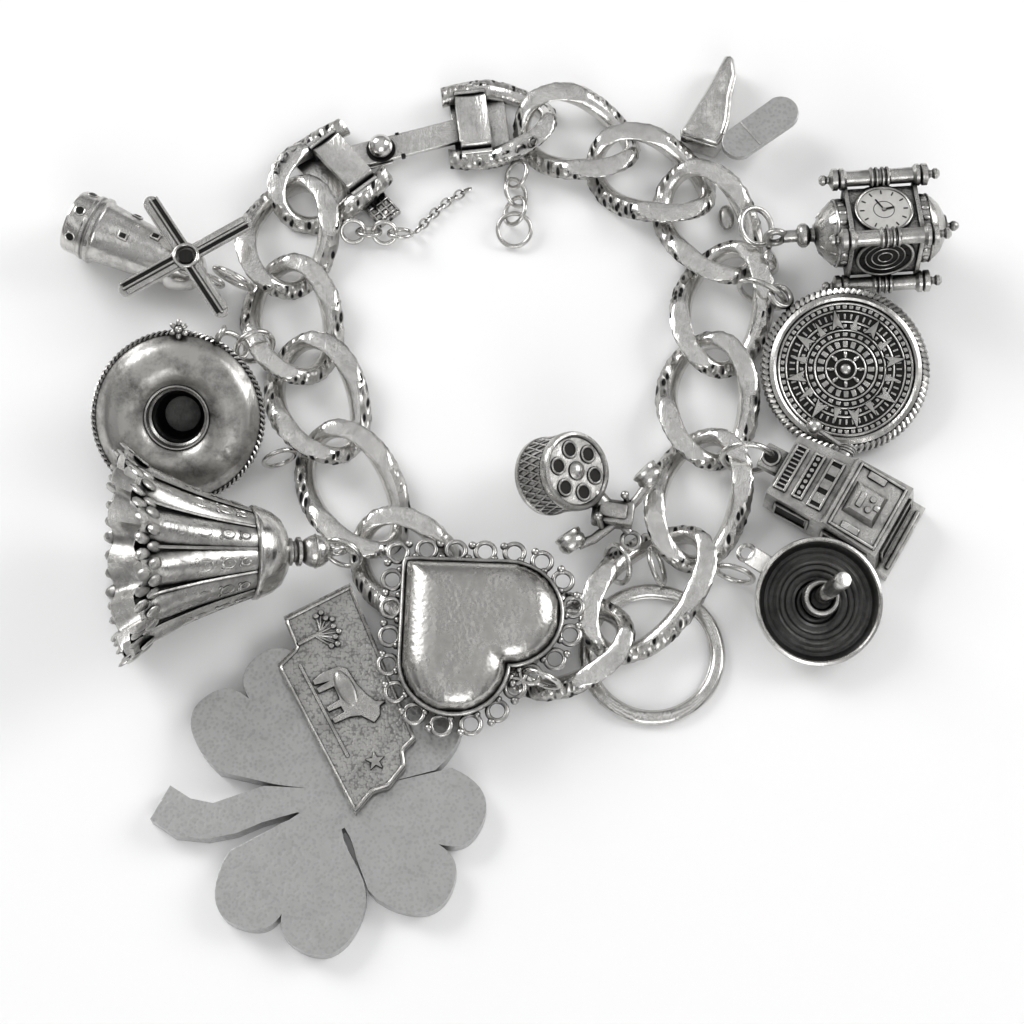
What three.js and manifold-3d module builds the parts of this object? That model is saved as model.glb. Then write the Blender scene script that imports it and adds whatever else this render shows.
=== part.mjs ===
// Charm bracelet: fourteen twisted curb links and a tongue clasp laid in a loop on a table, with
// thirteen charms hung from it by jump rings. Millimetres, +Z up, resting on z = 0.
// Each piece that is separate metal on the real thing is one closed mesh; soldered metal is joined.
import * as THREE from "three";
import { mergeVertices } from "three/addons/utils/BufferGeometryUtils.js";
import Module from "manifold-3d";

const wasm = await Module();
wasm.setup();

// ---- driving dimensions, in millimetres and degrees ----

const LINK = {
  width: 13, // across the link, over both bars
  endBar: 2.1, // bar across its own width where the links hang in each other
  sideBar: 2.6, // the same half-way along a side
  barHeight: 2.4,
  twist: 1.8, // how far the bar's centre rises and falls round the link
  thickness: 3.9, // the top and underside are ground flat to this
  sides: 6, // facets round the bar
  steps: 18, // facets along the bar
};

// The links in order round the loop, clockwise seen from above, each with its middle, the direction
// that it points in and its length over all. They are closed by hand and differ a little. A link
// with a nod, a roll or a lift lies askew on its neighbours.
const LINKS = [
  { name: "link_01", x: 8.5, y: 51.7, heading: -22, length: 17, nod: 2, lift: 0.1 },
  { name: "link_02", x: 18.1, y: 45.6, heading: -30, length: 17.9, nod: -1, lift: 0.1 },
  { name: "link_03", x: 25.4, y: 38.8, heading: -63, length: 18.1, nod: 2, roll: 2 },
  { name: "link_04", x: 26.8, y: 26.9, heading: -101, length: 18.8, nod: 1, roll: 3, lift: 0.1 },
  { name: "link_05", x: 24.7, y: 14.3, heading: -92, length: 18.5 },
  { name: "link_06", x: 23.1, y: 1.0, heading: -105, length: 19.3, nod: -1, lift: 0.1 },
  { name: "link_07", x: 16.6, y: -11.2, heading: -131, length: 20.9, nod: -3, roll: 2, lift: 0.4 },
  { name: "link_08", x: 6.0, y: -18.1, heading: -168, length: 18, nod: 6, roll: -1 },
  { name: "link_09", x: -4.6, y: -15.9, heading: 147, length: 17.6, roll: 3, nod: 1, lift: 0.1 },
  { name: "link_10", x: -12.4, y: -8.4, heading: 134, length: 17.8, nod: 1 },
  { name: "link_11", x: -19.9, y: 2.0, heading: 117, length: 19.2, lift: 0.1 },
  { name: "link_12", x: -24.6, y: 14.3, heading: 107, length: 18.2, nod: 2, roll: 1 },
  { name: "link_13", x: -28.1, y: 25.3, heading: 100, length: 17.8, roll: -1 },
  { name: "link_14", x: -28.9, y: 37.2, heading: 79, length: 17.4, nod: 2, lift: 0.1 },
];

const CLASP = {
  width: 12.8,
  length: 17.6,
  openAt: 5.9, // the arms are cut off square this far from the middle
  bandLength: 3.9, // along the bracelet
  bandSpan: 7.6, // between the arms
  sheet: 0.8, // thickness of band, box floor and tongue
  floorLength: 7.2,
  tongueWidth: 3.4,
  tongueReach: 19, // from the middle of its own link
  ballRadius: 1.55,
  ballReach: 14.8,
};
const CLASP_LEFT = { x: -23.7, y: 45.9, heading: 40 };
const CLASP_RIGHT = { x: -2.9, y: 53.6, heading: 7 };
const TONGUE_BEND = 9; // degrees, towards the box

const FINE_CHAIN_WIDTH = 1.1;

// ---- finishes ----

const finish = (color, roughness, metalness = 1) =>
  new THREE.MeshStandardMaterial({ color, roughness, metalness });
const POLISHED = finish(0xd9d7d2, 0.18);
const BARK = finish(0xc4c1bb, 0.32);
const SATIN = finish(0xbdbcb9, 0.42);
const ANTIQUE = finish(0x8f8c87, 0.38);
const BLACKENED = finish(0x4a4845, 0.45);

// ---- shared shapes ----

const ANGLE = THREE.MathUtils.degToRad;

/** A geometry as a manifold-3d solid. */
function solidOf(geometry) {
  const bare = geometry.clone();
  bare.deleteAttribute("normal");
  bare.deleteAttribute("uv");
  const merged = mergeVertices(bare, 1e-4);
  return new wasm.Manifold(
    new wasm.Mesh({
      numProp: 3,
      vertProperties: new Float32Array(merged.attributes.position.array),
      triVerts: new Uint32Array(merged.index.array),
    }),
  );
}

/** A manifold-3d solid as a geometry. */
function geometryOf(solid) {
  const mesh = solid.getMesh();
  const geometry = new THREE.BufferGeometry();
  geometry.setAttribute("position", new THREE.BufferAttribute(mesh.vertProperties, 3));
  geometry.setIndex(new THREE.BufferAttribute(mesh.triVerts, 1));
  geometry.computeVertexNormals();
  return geometry;
}

/** The pieces soldered together. */
function joined(...pieces) {
  return geometryOf(pieces.map(solidOf).reduce((whole, piece) => whole.add(piece)));
}

/** A piece with each tool's space taken out of it. */
function cutBy(piece, ...tools) {
  return geometryOf(tools.map(solidOf).reduce((whole, tool) => whole.subtract(tool), solidOf(piece)));
}

const block = (length, width, height, x = 0, y = 0, z = 0) =>
  new THREE.BoxGeometry(length, width, height).translate(x, y, z);

const ball = (radius, x = 0, y = 0, z = 0, around = 10) =>
  new THREE.SphereGeometry(radius, around, Math.round(around * 0.6)).translate(x, y, z);

/** A body turned about Z, its outline given upwards as [radius, height] from axis to axis. */
const turned = (outline, around = 16) =>
  new THREE.LatheGeometry(
    outline.map(([radius, height]) => new THREE.Vector2(radius, height)),
    around,
  ).rotateX(Math.PI / 2);

/** A disc or pin about Z that stands on the given height. */
const disc = (radius, height, z = 0, around = 16) =>
  new THREE.CylinderGeometry(radius, radius, height, around)
    .rotateX(Math.PI / 2)
    .translate(0, 0, z + height / 2);

/** A wire ring about Z. */
const hoop = (radius, wire, around = 10, sides = 4) =>
  new THREE.TorusGeometry(radius, wire / 2, sides, around);

/** A flat outline given as a THREE.Shape, thickened upwards from z. */
const plate = (shape, thickness, z = 0, curveSegments = 6) =>
  new THREE.ExtrudeGeometry(shape, { depth: thickness, bevelEnabled: false, curveSegments }).translate(0, 0, z);

/** A closed outline through corner points. */
const outlineOf = (corners) => new THREE.Shape(corners.map(([x, y]) => new THREE.Vector2(x, y)));

/** A flat strip with a round far end, from the origin along +X, standing on z. */
function roundEndedStrip(length, width, thickness, z) {
  const shape = new THREE.Shape();
  shape.moveTo(0, -width / 2);
  shape.absarc(length - width / 2, 0, width / 2, -Math.PI / 2, Math.PI / 2, false);
  shape.lineTo(0, width / 2);
  return plate(shape, thickness, z, 3);
}

/** A round wire between two points. */
function rod(from, to, radius, around = 8) {
  const start = new THREE.Vector3(...from);
  const run = new THREE.Vector3(...to).sub(start);
  const turn = new THREE.Quaternion().setFromUnitVectors(new THREE.Vector3(0, 1, 0), run.clone().normalize());
  return new THREE.CylinderGeometry(radius, radius, run.length(), around)
    .applyQuaternion(turn)
    .translate(...start.addScaledVector(run, 0.5).toArray());
}

/** A ring like a curb link: an oval whose bar rises on two opposite quarters and falls on the others. */
function twistedRing(length, width, squareFront = false) {
  const halfLong = (length - LINK.endBar) / 2;
  const halfWide = (width - LINK.sideBar) / 2;
  const centre = (turn) => {
    const front = squareFront && Math.cos(turn) > 0;
    const across = front ? Math.sign(Math.sin(turn)) * Math.abs(Math.sin(turn)) ** 0.3 : Math.sin(turn);
    const rise = front ? 0 : -LINK.twist * Math.sin(2 * turn);
    return new THREE.Vector3(halfLong * Math.cos(turn), halfWide * across, rise);
  };
  const ring = new THREE.TorusGeometry(2, 1, LINK.sides, LINK.steps);
  const corners = ring.getAttribute("position");
  const small = 0.01;
  for (let i = 0; i < corners.count; i++) {
    const turn = Math.atan2(corners.getY(i), corners.getX(i));
    const outward = Math.hypot(corners.getX(i), corners.getY(i)) - 2;
    const upward = corners.getZ(i);
    const along = centre(turn + small).sub(centre(turn - small)).normalize();
    const side = new THREE.Vector3(along.y, -along.x, 0).normalize();
    const above = new THREE.Vector3().crossVectors(side, along);
    const bar = LINK.endBar + (LINK.sideBar - LINK.endBar) * Math.sin(turn) ** 2;
    const place = centre(turn)
      .addScaledVector(side, (outward * bar) / 2)
      .addScaledVector(above, (upward * LINK.barHeight) / 2 / Math.sin(ANGLE(60)));
    corners.setXYZ(i, place.x, place.y, place.z);
  }
  return ring;
}

/** The ring ground flat above and below, about its own middle. */
const groundFlat = (ring) =>
  geometryOf(solidOf(ring).intersect(solidOf(block(40, 40, LINK.thickness))));

// ---- the assembly ----

const bracelet = new THREE.Group();

/** Adds one named piece: turned by roll about X, then nod about Y, then heading about Z, then moved. */
function seat(name, geometry, material, { x, y, z = 0, heading = 0, nod = 0, roll = 0 }, parent = bracelet) {
  const piece = new THREE.Mesh(geometry, material);
  piece.name = name;
  piece.position.set(x, y, z);
  piece.rotation.set(ANGLE(roll), ANGLE(nod), ANGLE(heading), "ZYX");
  parent.add(piece);
  return piece;
}

/** A group turned and moved like a piece, for what is fixed to one charm. */
function charm({ x, y, z = 0, heading = 0, nod = 0, roll = 0 }) {
  const group = new THREE.Group();
  group.position.set(x, y, z);
  group.rotation.set(ANGLE(roll), ANGLE(nod), ANGLE(heading), "ZYX");
  bracelet.add(group);
  return group;
}

const HERE = { x: 0, y: 0 };

// ---- chain and clasp ----

for (const { name, length, lift = 0, ...place } of LINKS) {
  const link = seat(name, groundFlat(twistedRing(length, LINK.width)), BARK, place);
  link.position.z = lift - new THREE.Box3().setFromObject(link, true).min.z;
}

/** An end link: open at the front, with a band over its box floor. The front is +X. */
function endLink() {
  const ring = groundFlat(twistedRing(CLASP.length, CLASP.width, true));
  const arms = cutBy(ring, block(10, 20, 10, CLASP.openAt + 5));
  const floorZ = -1.25;
  const bandZ = 1.55;
  const legY = CLASP.bandSpan / 2 - CLASP.sheet / 2;
  const legHeight = bandZ - floorZ;
  return joined(
    arms,
    block(CLASP.floorLength, CLASP.width - 3, CLASP.sheet, 1.3, 0, floorZ),
    block(CLASP.bandLength, CLASP.bandSpan + 0.6, CLASP.sheet, 2.2, 0, bandZ),
    block(CLASP.bandLength, CLASP.sheet, legHeight, 2.2, legY, (bandZ + floorZ) / 2),
    block(CLASP.bandLength, CLASP.sheet, legHeight, 2.2, -legY, (bandZ + floorZ) / 2),
  );
}

const claspZ = LINK.thickness / 2;
const tab = block(3.4, 4.6, 0.9, 2.4, -7.2, -1.2);
seat("clasp_box_link", joined(endLink(), tab), BARK, { ...CLASP_LEFT, z: claspZ });

{
  const tongueZ = 0.2;
  const tongue = block(CLASP.tongueReach, CLASP.tongueWidth, CLASP.sheet, CLASP.tongueReach / 2, 0, tongueZ);
  const root = block(2.6, CLASP.tongueWidth, 1.6, 1.6, 0, -0.6);
  const thumbBall = ball(CLASP.ballRadius, CLASP.ballReach, 0, 1.5, 12);
  const catchPlate = joined(tongue, root, thumbBall).rotateZ(ANGLE(TONGUE_BEND));
  const link = joined(endLink(), catchPlate).rotateZ(Math.PI);
  seat("clasp_tongue_link", link, BARK, { ...CLASP_RIGHT, z: claspZ });
}

/** Rings hooked in one another along a line, leaning left and right in turn. */
function ringRun(name, start, step, radii, wire, lean = 45) {
  const heading = THREE.MathUtils.radToDeg(Math.atan2(step[1], step[0]));
  radii.forEach((radius, i) => {
    const place = { x: start[0] + i * step[0], y: start[1] + i * step[1], z: start[2], heading };
    seat(`${name}_${i + 1}`, hoop(radius, wire), POLISHED, { ...place, roll: i % 2 ? -lean : lean });
  });
}

ringRun("extension_ring", [0.6, 46.3, 1.65], [-0.1, -2.65], [1.85, 1.85, 1.85], 0.6);
seat("extension_end_ring", hoop(2.15, 0.6), POLISHED, { x: 0.3, y: 38.5, z: 1.2, roll: 16 });
ringRun("safety_ring", [-20.6, 38.1, 1.6], [2.05, -0.1], [1.5, 1.5, 1.5, 1.5], 0.6);

/** A wire or fine chain swept along a smooth route, as one solid. */
function sweep(route, width, steps, sides = 8) {
  const curve = new THREE.CatmullRomCurve3(route.map((point) => new THREE.Vector3(...point)));
  const section = new THREE.Shape().absarc(0, 0, width / 2, 0, Math.PI * 2);
  return new THREE.ExtrudeGeometry(section, {
    steps,
    extrudePath: curve,
    bevelEnabled: false,
    curveSegments: sides,
  });
}

// From the last safety ring to the underside of the right end link.
const FINE_CHAIN_ROUTE = [
  [-12.4, 38.4, 0.9],
  [-10.6, 40.6, 0.7],
  [-8.4, 42.8, 0.7],
  [-5.4, 44.8, 0.7],
];
seat("safety_chain", sweep(FINE_CHAIN_ROUTE, FINE_CHAIN_WIDTH, 12, 6), POLISHED, HERE);

// ---- windmill ----

const MILL = {
  seat: { x: -56.2, y: 38.2, z: 4.65, heading: -24, nod: 3.5 },
  length: 18.6,
  loopAlong: 20.1,
  hubAlong: 16.2, // the sails' shaft, from the base
  shaftTop: 4.4, // above the tower's axis
  sailTurns: [57, 147, 237, 327],
  sailLength: 9.6,
  sailWidth: 2.1,
  hubRadius: 1.75,
  boreRadius: 1.25,
  pinRadius: 0.9,
};

{
  const group = charm(MILL.seat);
  const outline = [
    [0, 0], [3.9, 0], [4.1, 0.4], [4.1, 2.4], [4.4, 2.8], [4.4, 3.9], [4.0, 4.3], [3.7, 7],
    [3.0, 14], [3.3, 14.5], [3.1, 15.6], [2.2, 17.6], [0.7, MILL.length], [0.7, MILL.loopAlong - 0.8],
    [0, MILL.loopAlong - 0.8],
  ];
  const tower = turned(outline, 12).rotateY(Math.PI / 2);
  const shoulder = disc(1.7, 1.9, 1.5, 12).translate(MILL.hubAlong, 0, 0);
  const pin = disc(MILL.pinRadius, MILL.shaftTop - 1, 1, 12).translate(MILL.hubAlong, 0, 0);
  const loop = hoop(1.05, 0.6).rotateX(Math.PI / 2).translate(MILL.loopAlong, 0, 0);
  seat("windmill_tower", joined(tower, shoulder, pin, loop), POLISHED, HERE, group);

  const hub = disc(MILL.hubRadius, 1.1, 0, 16);
  const sails = MILL.sailTurns.flatMap((turn) => [
    roundEndedStrip(MILL.sailLength, MILL.sailWidth, 0.5, 0.2).rotateZ(ANGLE(turn)),
    block(MILL.sailLength - 1, 0.6, 0.4, (MILL.sailLength - 1) / 2, -0.5, 0.85).rotateZ(ANGLE(turn)),
  ]);
  const bore = disc(MILL.boreRadius, 4, -1, 12);
  const wheel = cutBy(joined(hub, ...sails), bore);
  seat("windmill_sails", wheel, POLISHED, { x: MILL.hubAlong, y: 0, z: 3.75 }, group);
}

// ---- sombrero, upside down ----

const HAT = {
  seat: { x: -41.4, y: 10.2, z: 6.45, roll: 27 },
  edgeRadius: 10.4,
  loopAt: 62, // round the edge, towards the chain
  rosetteAt: 88,
};

{
  const edge = HAT.edgeRadius;
  const outline = [
    [0, -5.7], [3.2, -5.6], [4.2, -4.8], [4.7, -1.2], [8.0, -0.9], [edge - 0.5, -0.9], [edge, -0.2],
    [edge - 0.5, 0.3], [8.4, 1.6], [6.3, 2.2], [4.5, 1.9], [3.75, 1.0], [3.6, -4.0], [2.8, -4.8], [0, -4.9],
  ];
  const rope = hoop(edge, 0.9, 24, 4);
  const loop = hoop(1.0, 0.6).rotateX(Math.PI / 2).translate(edge + 1.2, 0, 0.2).rotateZ(ANGLE(HAT.loopAt));
  const rosette = ball(1, 0, 0, 0, 8).scale(1.5, 1.1, 0.7).translate(0, edge + 0.5, 0.9);
  rosette.rotateZ(ANGLE(HAT.rosetteAt - 90));
  seat("sombrero", joined(turned(outline, 20), rope, loop, rosette), ANTIQUE, HAT.seat);
}

// ---- lampshade bell ----

const BELL = {
  seat: { x: -46.1, y: -10.2, z: 13.0, heading: 6.8, nod: 15.5 },
  mouthRadius: 12.4,
  flutes: 12,
  ruffle: 0.07, // of the radius, at the mouth
  wall: 0.8,
  capAlong: 15.4,
  ballAlong: 23.2,
};

{
  const [flare, wall] = [BELL.mouthRadius, BELL.wall];
  const shell = turned(
    [
      [0, BELL.capAlong - 0.6], [5.4 - wall, BELL.capAlong - 0.6], [6.9 - wall, 11], [8.3 - wall, 7.4],
      [10.2 - wall, 3.4], [flare - wall, 0], [flare, 0], [10.2, 3.2], [8.3, 7.2], [6.9, 10.8],
      [5.4, 15.2], [5.6, BELL.capAlong], [5.5, 16.4], [4.3, 18.4], [2.3, 19.6], [1.1, 20], [1.1, 22],
      [0, 22],
    ],
    BELL.flutes * 2,
  );
  const corners = shell.getAttribute("position");
  for (let i = 0; i < corners.count; i++) {
    const along = corners.getZ(i);
    const depth = BELL.ruffle * Math.max(0, 1 - along / BELL.capAlong) ** 2;
    const turn = Math.atan2(corners.getY(i), corners.getX(i));
    const ruffle = 1 + depth * Math.cos(BELL.flutes * turn);
    corners.setXYZ(i, corners.getX(i) * ruffle, corners.getY(i) * ruffle, along);
  }
  const knob = ball(2.0, 0, 0, BELL.ballAlong, 10);
  const loop = hoop(1.1, 0.6).rotateX(Math.PI / 2).translate(0, 0, BELL.ballAlong + 2.7);
  seat("bell_shade", joined(shell, knob, loop).rotateY(Math.PI / 2), ANTIQUE, BELL.seat);
}

// ---- puffed heart with a lace border ----

const HEART = {
  seat: { x: -12.7, y: -8.7, z: 5.3, heading: -2 },
  side: 12.4, // of the square that the two round lobes stand on
  plate: 0.9,
  puff: 2.6,
  laceRings: 16,
  laceGap: 1.4, // from the outline to the middle of a lace ring
  laceRadius: 1.65,
  laceHole: 0.9,
};

/** The heart's outline, its point at the origin and its lobes towards +X and -Y. */
function heartShape(side) {
  const shape = new THREE.Shape();
  shape.moveTo(0, 0);
  shape.lineTo(0, -side);
  shape.absarc(side / 2, -side, side / 2, Math.PI, Math.PI * 2, false);
  shape.absarc(side, -side / 2, side / 2, -Math.PI / 2, Math.PI / 2, false);
  shape.lineTo(0, 0);
  return shape;
}

/** Places just outside the heart's outline, evenly spaced, where the lace rings stand. */
function lacePlaces(side, count, gap) {
  const fine = 240;
  const points = heartShape(side).getSpacedPoints(fine);
  const middle = new THREE.Vector2(side * 0.62, -side * 0.62);
  return Array.from({ length: count }, (_, i) => {
    const at = Math.round(((i + 0.5) * fine) / count);
    const [before, after] = [points[(at + fine - 1) % fine], points[(at + 1) % fine]];
    const along = after.clone().sub(before).normalize();
    const out = new THREE.Vector2(along.y, -along.x);
    if (out.dot(points[at].clone().sub(middle)) < 0) out.negate();
    return points[at].clone().addScaledVector(out, gap);
  });
}

{
  const back = plate(heartShape(HEART.side + 0.3), HEART.plate, 0, 6);
  const puff = new THREE.ExtrudeGeometry(heartShape(HEART.side), {
    depth: 0.2,
    bevelThickness: HEART.puff,
    bevelSize: 4.2,
    bevelOffset: -4.4,
    bevelSegments: 2,
    curveSegments: 5,
  }).translate(0, 0, HEART.plate - 0.1);
  const top = geometryOf(solidOf(puff).intersect(solidOf(block(60, 60, 10, 0, 0, 5 + 0.4))));
  const places = lacePlaces(HEART.side, HEART.laceRings, HEART.laceGap);
  const discs = places.map(({ x, y }) => disc(HEART.laceRadius, 0.9, 0, 7).translate(x, y, 0));
  const holes = places.map(({ x, y }) => disc(HEART.laceHole, 3, -1, 6).translate(x, y, 0));
  const lace = cutBy(joined(...discs), ...holes);
  seat("heart", joined(lace, back, top), POLISHED, HEART.seat);
}

// ---- map-shaped plaque ----

const PLAQUE = { z: 2.9, thickness: 1.1 };

{
  const border = [
    [-19.8, -10.6], [-27.8, -14.9], [-26.2, -18.7], [-28.4, -21.0], [-18.6, -39.4], [-16.5, -36.8],
    [-14.6, -36.2], [-12.7, -33.7], [-13.0, -31.8], [-11.5, -30.2],
  ];
  seat("state_plaque", plate(outlineOf(border), PLAQUE.thickness, PLAQUE.z), ANTIQUE, HERE);
}

// ---- four-leaf clover ----

const CLOVER = { x: -21.6, y: -37.0, thickness: 2.5 };
const LEAVES = [
  { heading: 130, length: 19.4, width: 17.0, cleft: 15.9 },
  { heading: -111, length: 18.2, width: 17.8, cleft: 15.1 },
  { heading: -24, length: 17.8, width: 18.2, cleft: 14.2 },
  { heading: 52, length: 18.0, width: 16.0, cleft: 15.2 },
];

/** One heart-shaped leaf that grows out of the origin along +X. */
function leafShape({ length, width, cleft }) {
  const half = width / 2;
  const shape = new THREE.Shape();
  shape.moveTo(0, -2);
  shape.bezierCurveTo(0.25 * length, -2.2, 0.34 * length, -half, 0.66 * length, -half);
  shape.bezierCurveTo(0.9 * length, -half, length, -0.8 * half, length, -0.5 * half);
  shape.bezierCurveTo(length, -0.2 * half, 0.95 * length, -0.05 * half, cleft, 0);
  shape.bezierCurveTo(0.95 * length, 0.05 * half, length, 0.2 * half, length, 0.5 * half);
  shape.bezierCurveTo(length, 0.8 * half, 0.9 * length, half, 0.66 * length, half);
  shape.bezierCurveTo(0.34 * length, half, 0.25 * length, 2.2, 0, 2);
  return shape;
}

{
  const leaves = LEAVES.map((leaf) =>
    plate(leafShape(leaf), CLOVER.thickness, 0, 4).rotateZ(ANGLE(leaf.heading)),
  );
  const stem = new THREE.Shape();
  stem.moveTo(0, 1.5);
  stem.quadraticCurveTo(-8, 2.2, -13, -0.6);
  stem.quadraticCurveTo(-16.5, -1.0, -19.2, 1.4);
  stem.lineTo(-21.4, -2.7);
  stem.quadraticCurveTo(-17, -6.6, -11, -4.4);
  stem.quadraticCurveTo(-6, -2.4, 0, -1.5);
  const whole = joined(...leaves, plate(stem, CLOVER.thickness, 0, 4));
  seat("clover", whole, SATIN, CLOVER);
}

// ---- plain finger-ring charm ----

const BAND = { x: 17.1, y: -18.7, z: 0.6, radius: 8.1, wire: 1.8, flat: 0.66 };

seat("plain_ring", hoop(BAND.radius, BAND.wire, 26, 6).scale(1, 1, BAND.flat), POLISHED, BAND);

// ---- telephone ----

const PHONE = { x: 7.0, y: 2.3, z: 7.9 };
const PHONE_LEAN = { heading: -19, nod: 36 };

{
  const drum = turned([[0, -5], [4.5, -5], [4.9, -4.6], [4.9, 1.4], [4.5, 1.9], [0, 1.9]], 16);
  const holes = Array.from({ length: 6 }, (_, i) => {
    const turn = ANGLE(60 * i + 15);
    return disc(1.05, 3, 1.2, 6).translate(3.1 * Math.cos(turn), 3.1 * Math.sin(turn), 0);
  });
  const dial = cutBy(drum, ...holes).rotateY(ANGLE(PHONE_LEAN.nod)).rotateZ(ANGLE(PHONE_LEAN.heading));
  const cradle = block(5.2, 3.4, 2.6).rotateZ(ANGLE(-8)).translate(5.4, -4.3, -3.1);
  const neck = rod([1.5, -1.0, -1.6], [5.4, -4.3, -3.1], 1.4, 6);
  const handle = rod([10.4, 0, -2], [0.6, -8.4, -3.6], 0.7, 6);
  const ear = rod([10.6, -0.4, -2.2], [8.9, 1.2, -1.5], 1.75, 10);
  const mouth = rod([0.8, -8.6, -3.7], [-0.3, -6.8, -3.1], 1.75, 10);
  const stalk = rod([6.4, -5.2, -3.6], [7.4, -6.4, -4.1], 0.6, 6);
  const loop = hoop(1.1, 0.6).translate(7.6, -7.4, -4.2);
  seat("telephone", joined(dial, cradle, neck, handle, ear, mouth, stalk, loop), ANTIQUE, PHONE);
}

// ---- dish with a pin ----

const DISH = { seat: { x: 37.2, y: -12.9, z: 3.2, roll: 14, nod: 4 }, bailAt: 145 };

{
  const dish = turned(
    [
      [0, -1.0], [4.4, -0.9], [7.0, 0.1], [7.9, 1.2], [7.9, 1.9], [7.4, 1.9], [6.5, 0.9], [5.2, 0.6],
      [3.6, 0.1], [1.8, 0.2], [1.4, 1.4], [0, 1.4],
    ],
    20,
  );
  const collar = new THREE.CylinderGeometry(1.9, 2.1, 0.8, 12).rotateX(Math.PI / 2).translate(0.6, 0.8, 1.8);
  const pin = rod([0.4, 0.6, 1.2], [2.0, 2.4, 7.6], 0.75, 8);
  const bail = block(3.2, 2.6, 0.7).rotateY(ANGLE(28)).translate(8.4, 0, -0.1).rotateZ(ANGLE(DISH.bailAt));
  const loop = hoop(1.0, 0.6).rotateY(ANGLE(28)).translate(10.4, 0, -1.1).rotateZ(ANGLE(DISH.bailAt));
  seat("spinning_dish", joined(dish, collar, pin, bail, loop), BLACKENED, DISH.seat);
}

// ---- slot machine with its lever ----

const SLOT = {
  seat: { x: 41.1, y: -0.2, z: 0.15, heading: -30 },
  displayHalf: 4.4, // half the width at the display's end
  footHalf: 5.3,
  leverAt: -2.8, // along the body, from its middle
  leverY: 6.1,
  leverZ: 4.8,
  leverLength: 4.7,
};

{
  const group = charm(SLOT.seat);
  const side = outlineOf([
    [-8.9, 0.6], [8.9, 0], [8.9, 1.4], [7.2, 1.8], [6.6, 5.6], [-1.0, 6.9], [-1.3, 6.2], [-8.9, 5.6],
  ]);
  const plan = outlineOf([
    [-8.9, -SLOT.displayHalf], [8.9, -SLOT.footHalf], [8.9, SLOT.footHalf], [-8.9, SLOT.displayHalf],
  ]);
  const slab = plate(side, 14, -7).rotateX(Math.PI / 2);
  const body = geometryOf(solidOf(slab).intersect(solidOf(plate(plan, 10, -1))));
  const hanger = block(3.6, 3.6, 1.5, -10.2, 0.4, 4.2);
  const hangHole = disc(0.95, 4, 2.5, 10).translate(-10.6, 0.4, 0);
  const windows = [-6.9, -4.6].map((x) => block(1.6, 6, 1.2, x, 0, 6.1));
  const housing = cutBy(joined(body, hanger), hangHole, ...windows);
  const boss = rod([SLOT.leverAt, 4, SLOT.leverZ], [SLOT.leverAt, 5.2, SLOT.leverZ], 1.1, 12);
  const pivotPin = rod([SLOT.leverAt, 5, SLOT.leverZ], [SLOT.leverAt, 6.9, SLOT.leverZ], 0.45, 10);
  seat("slot_machine_body", joined(housing, boss, pivotPin), ANTIQUE, HERE, group);

  const eye = cutBy(rod([0, 5.5, 0], [0, 6.6, 0], 1.05, 12), rod([0, 5, 0], [0, 7, 0], 0.75, 12));
  const arm = rod([-0.85, SLOT.leverY, 0], [-SLOT.leverLength, SLOT.leverY + 0.4, 0.2], 0.35, 6);
  const knob = ball(1.0, -SLOT.leverLength - 0.4, SLOT.leverY + 0.5, 0.2, 10);
  const lever = joined(eye, arm, knob);
  seat("slot_machine_lever", lever, POLISHED, { x: SLOT.leverAt, y: 0, z: SLOT.leverZ }, group);
}

// ---- medallion ----

const MEDALLION = { seat: { x: 42.0, y: 17.8, z: 3.5, roll: 13 }, loopAt: 130 };

{
  const outline = [
    [0, -1.0], [10.0, -1.0], [10.0, 0.6], [8.9, 0.9], [8.5, 0.4], [2.4, 0.4], [2.2, 0.7], [0, 0.7],
  ];
  const rope = hoop(10.0, 1.5, 26, 5);
  const loop = hoop(1.5, 0.8).rotateX(ANGLE(35)).translate(12.4, 0, -0.2).rotateZ(ANGLE(MEDALLION.loopAt));
  seat("medallion", joined(turned(outline, 26), rope, loop), ANTIQUE, MEDALLION.seat);
}

// ---- lantern clock ----

const CLOCK = {
  seat: { x: 46.8, y: 35.4, z: 7.3, heading: 4, roll: -12 },
  postOffset: 4.8, // from the axis, across and up, to each corner post
  halfBody: 3.9,
  bodyLength: 9.4,
  dialRadius: 3.5,
};

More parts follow.
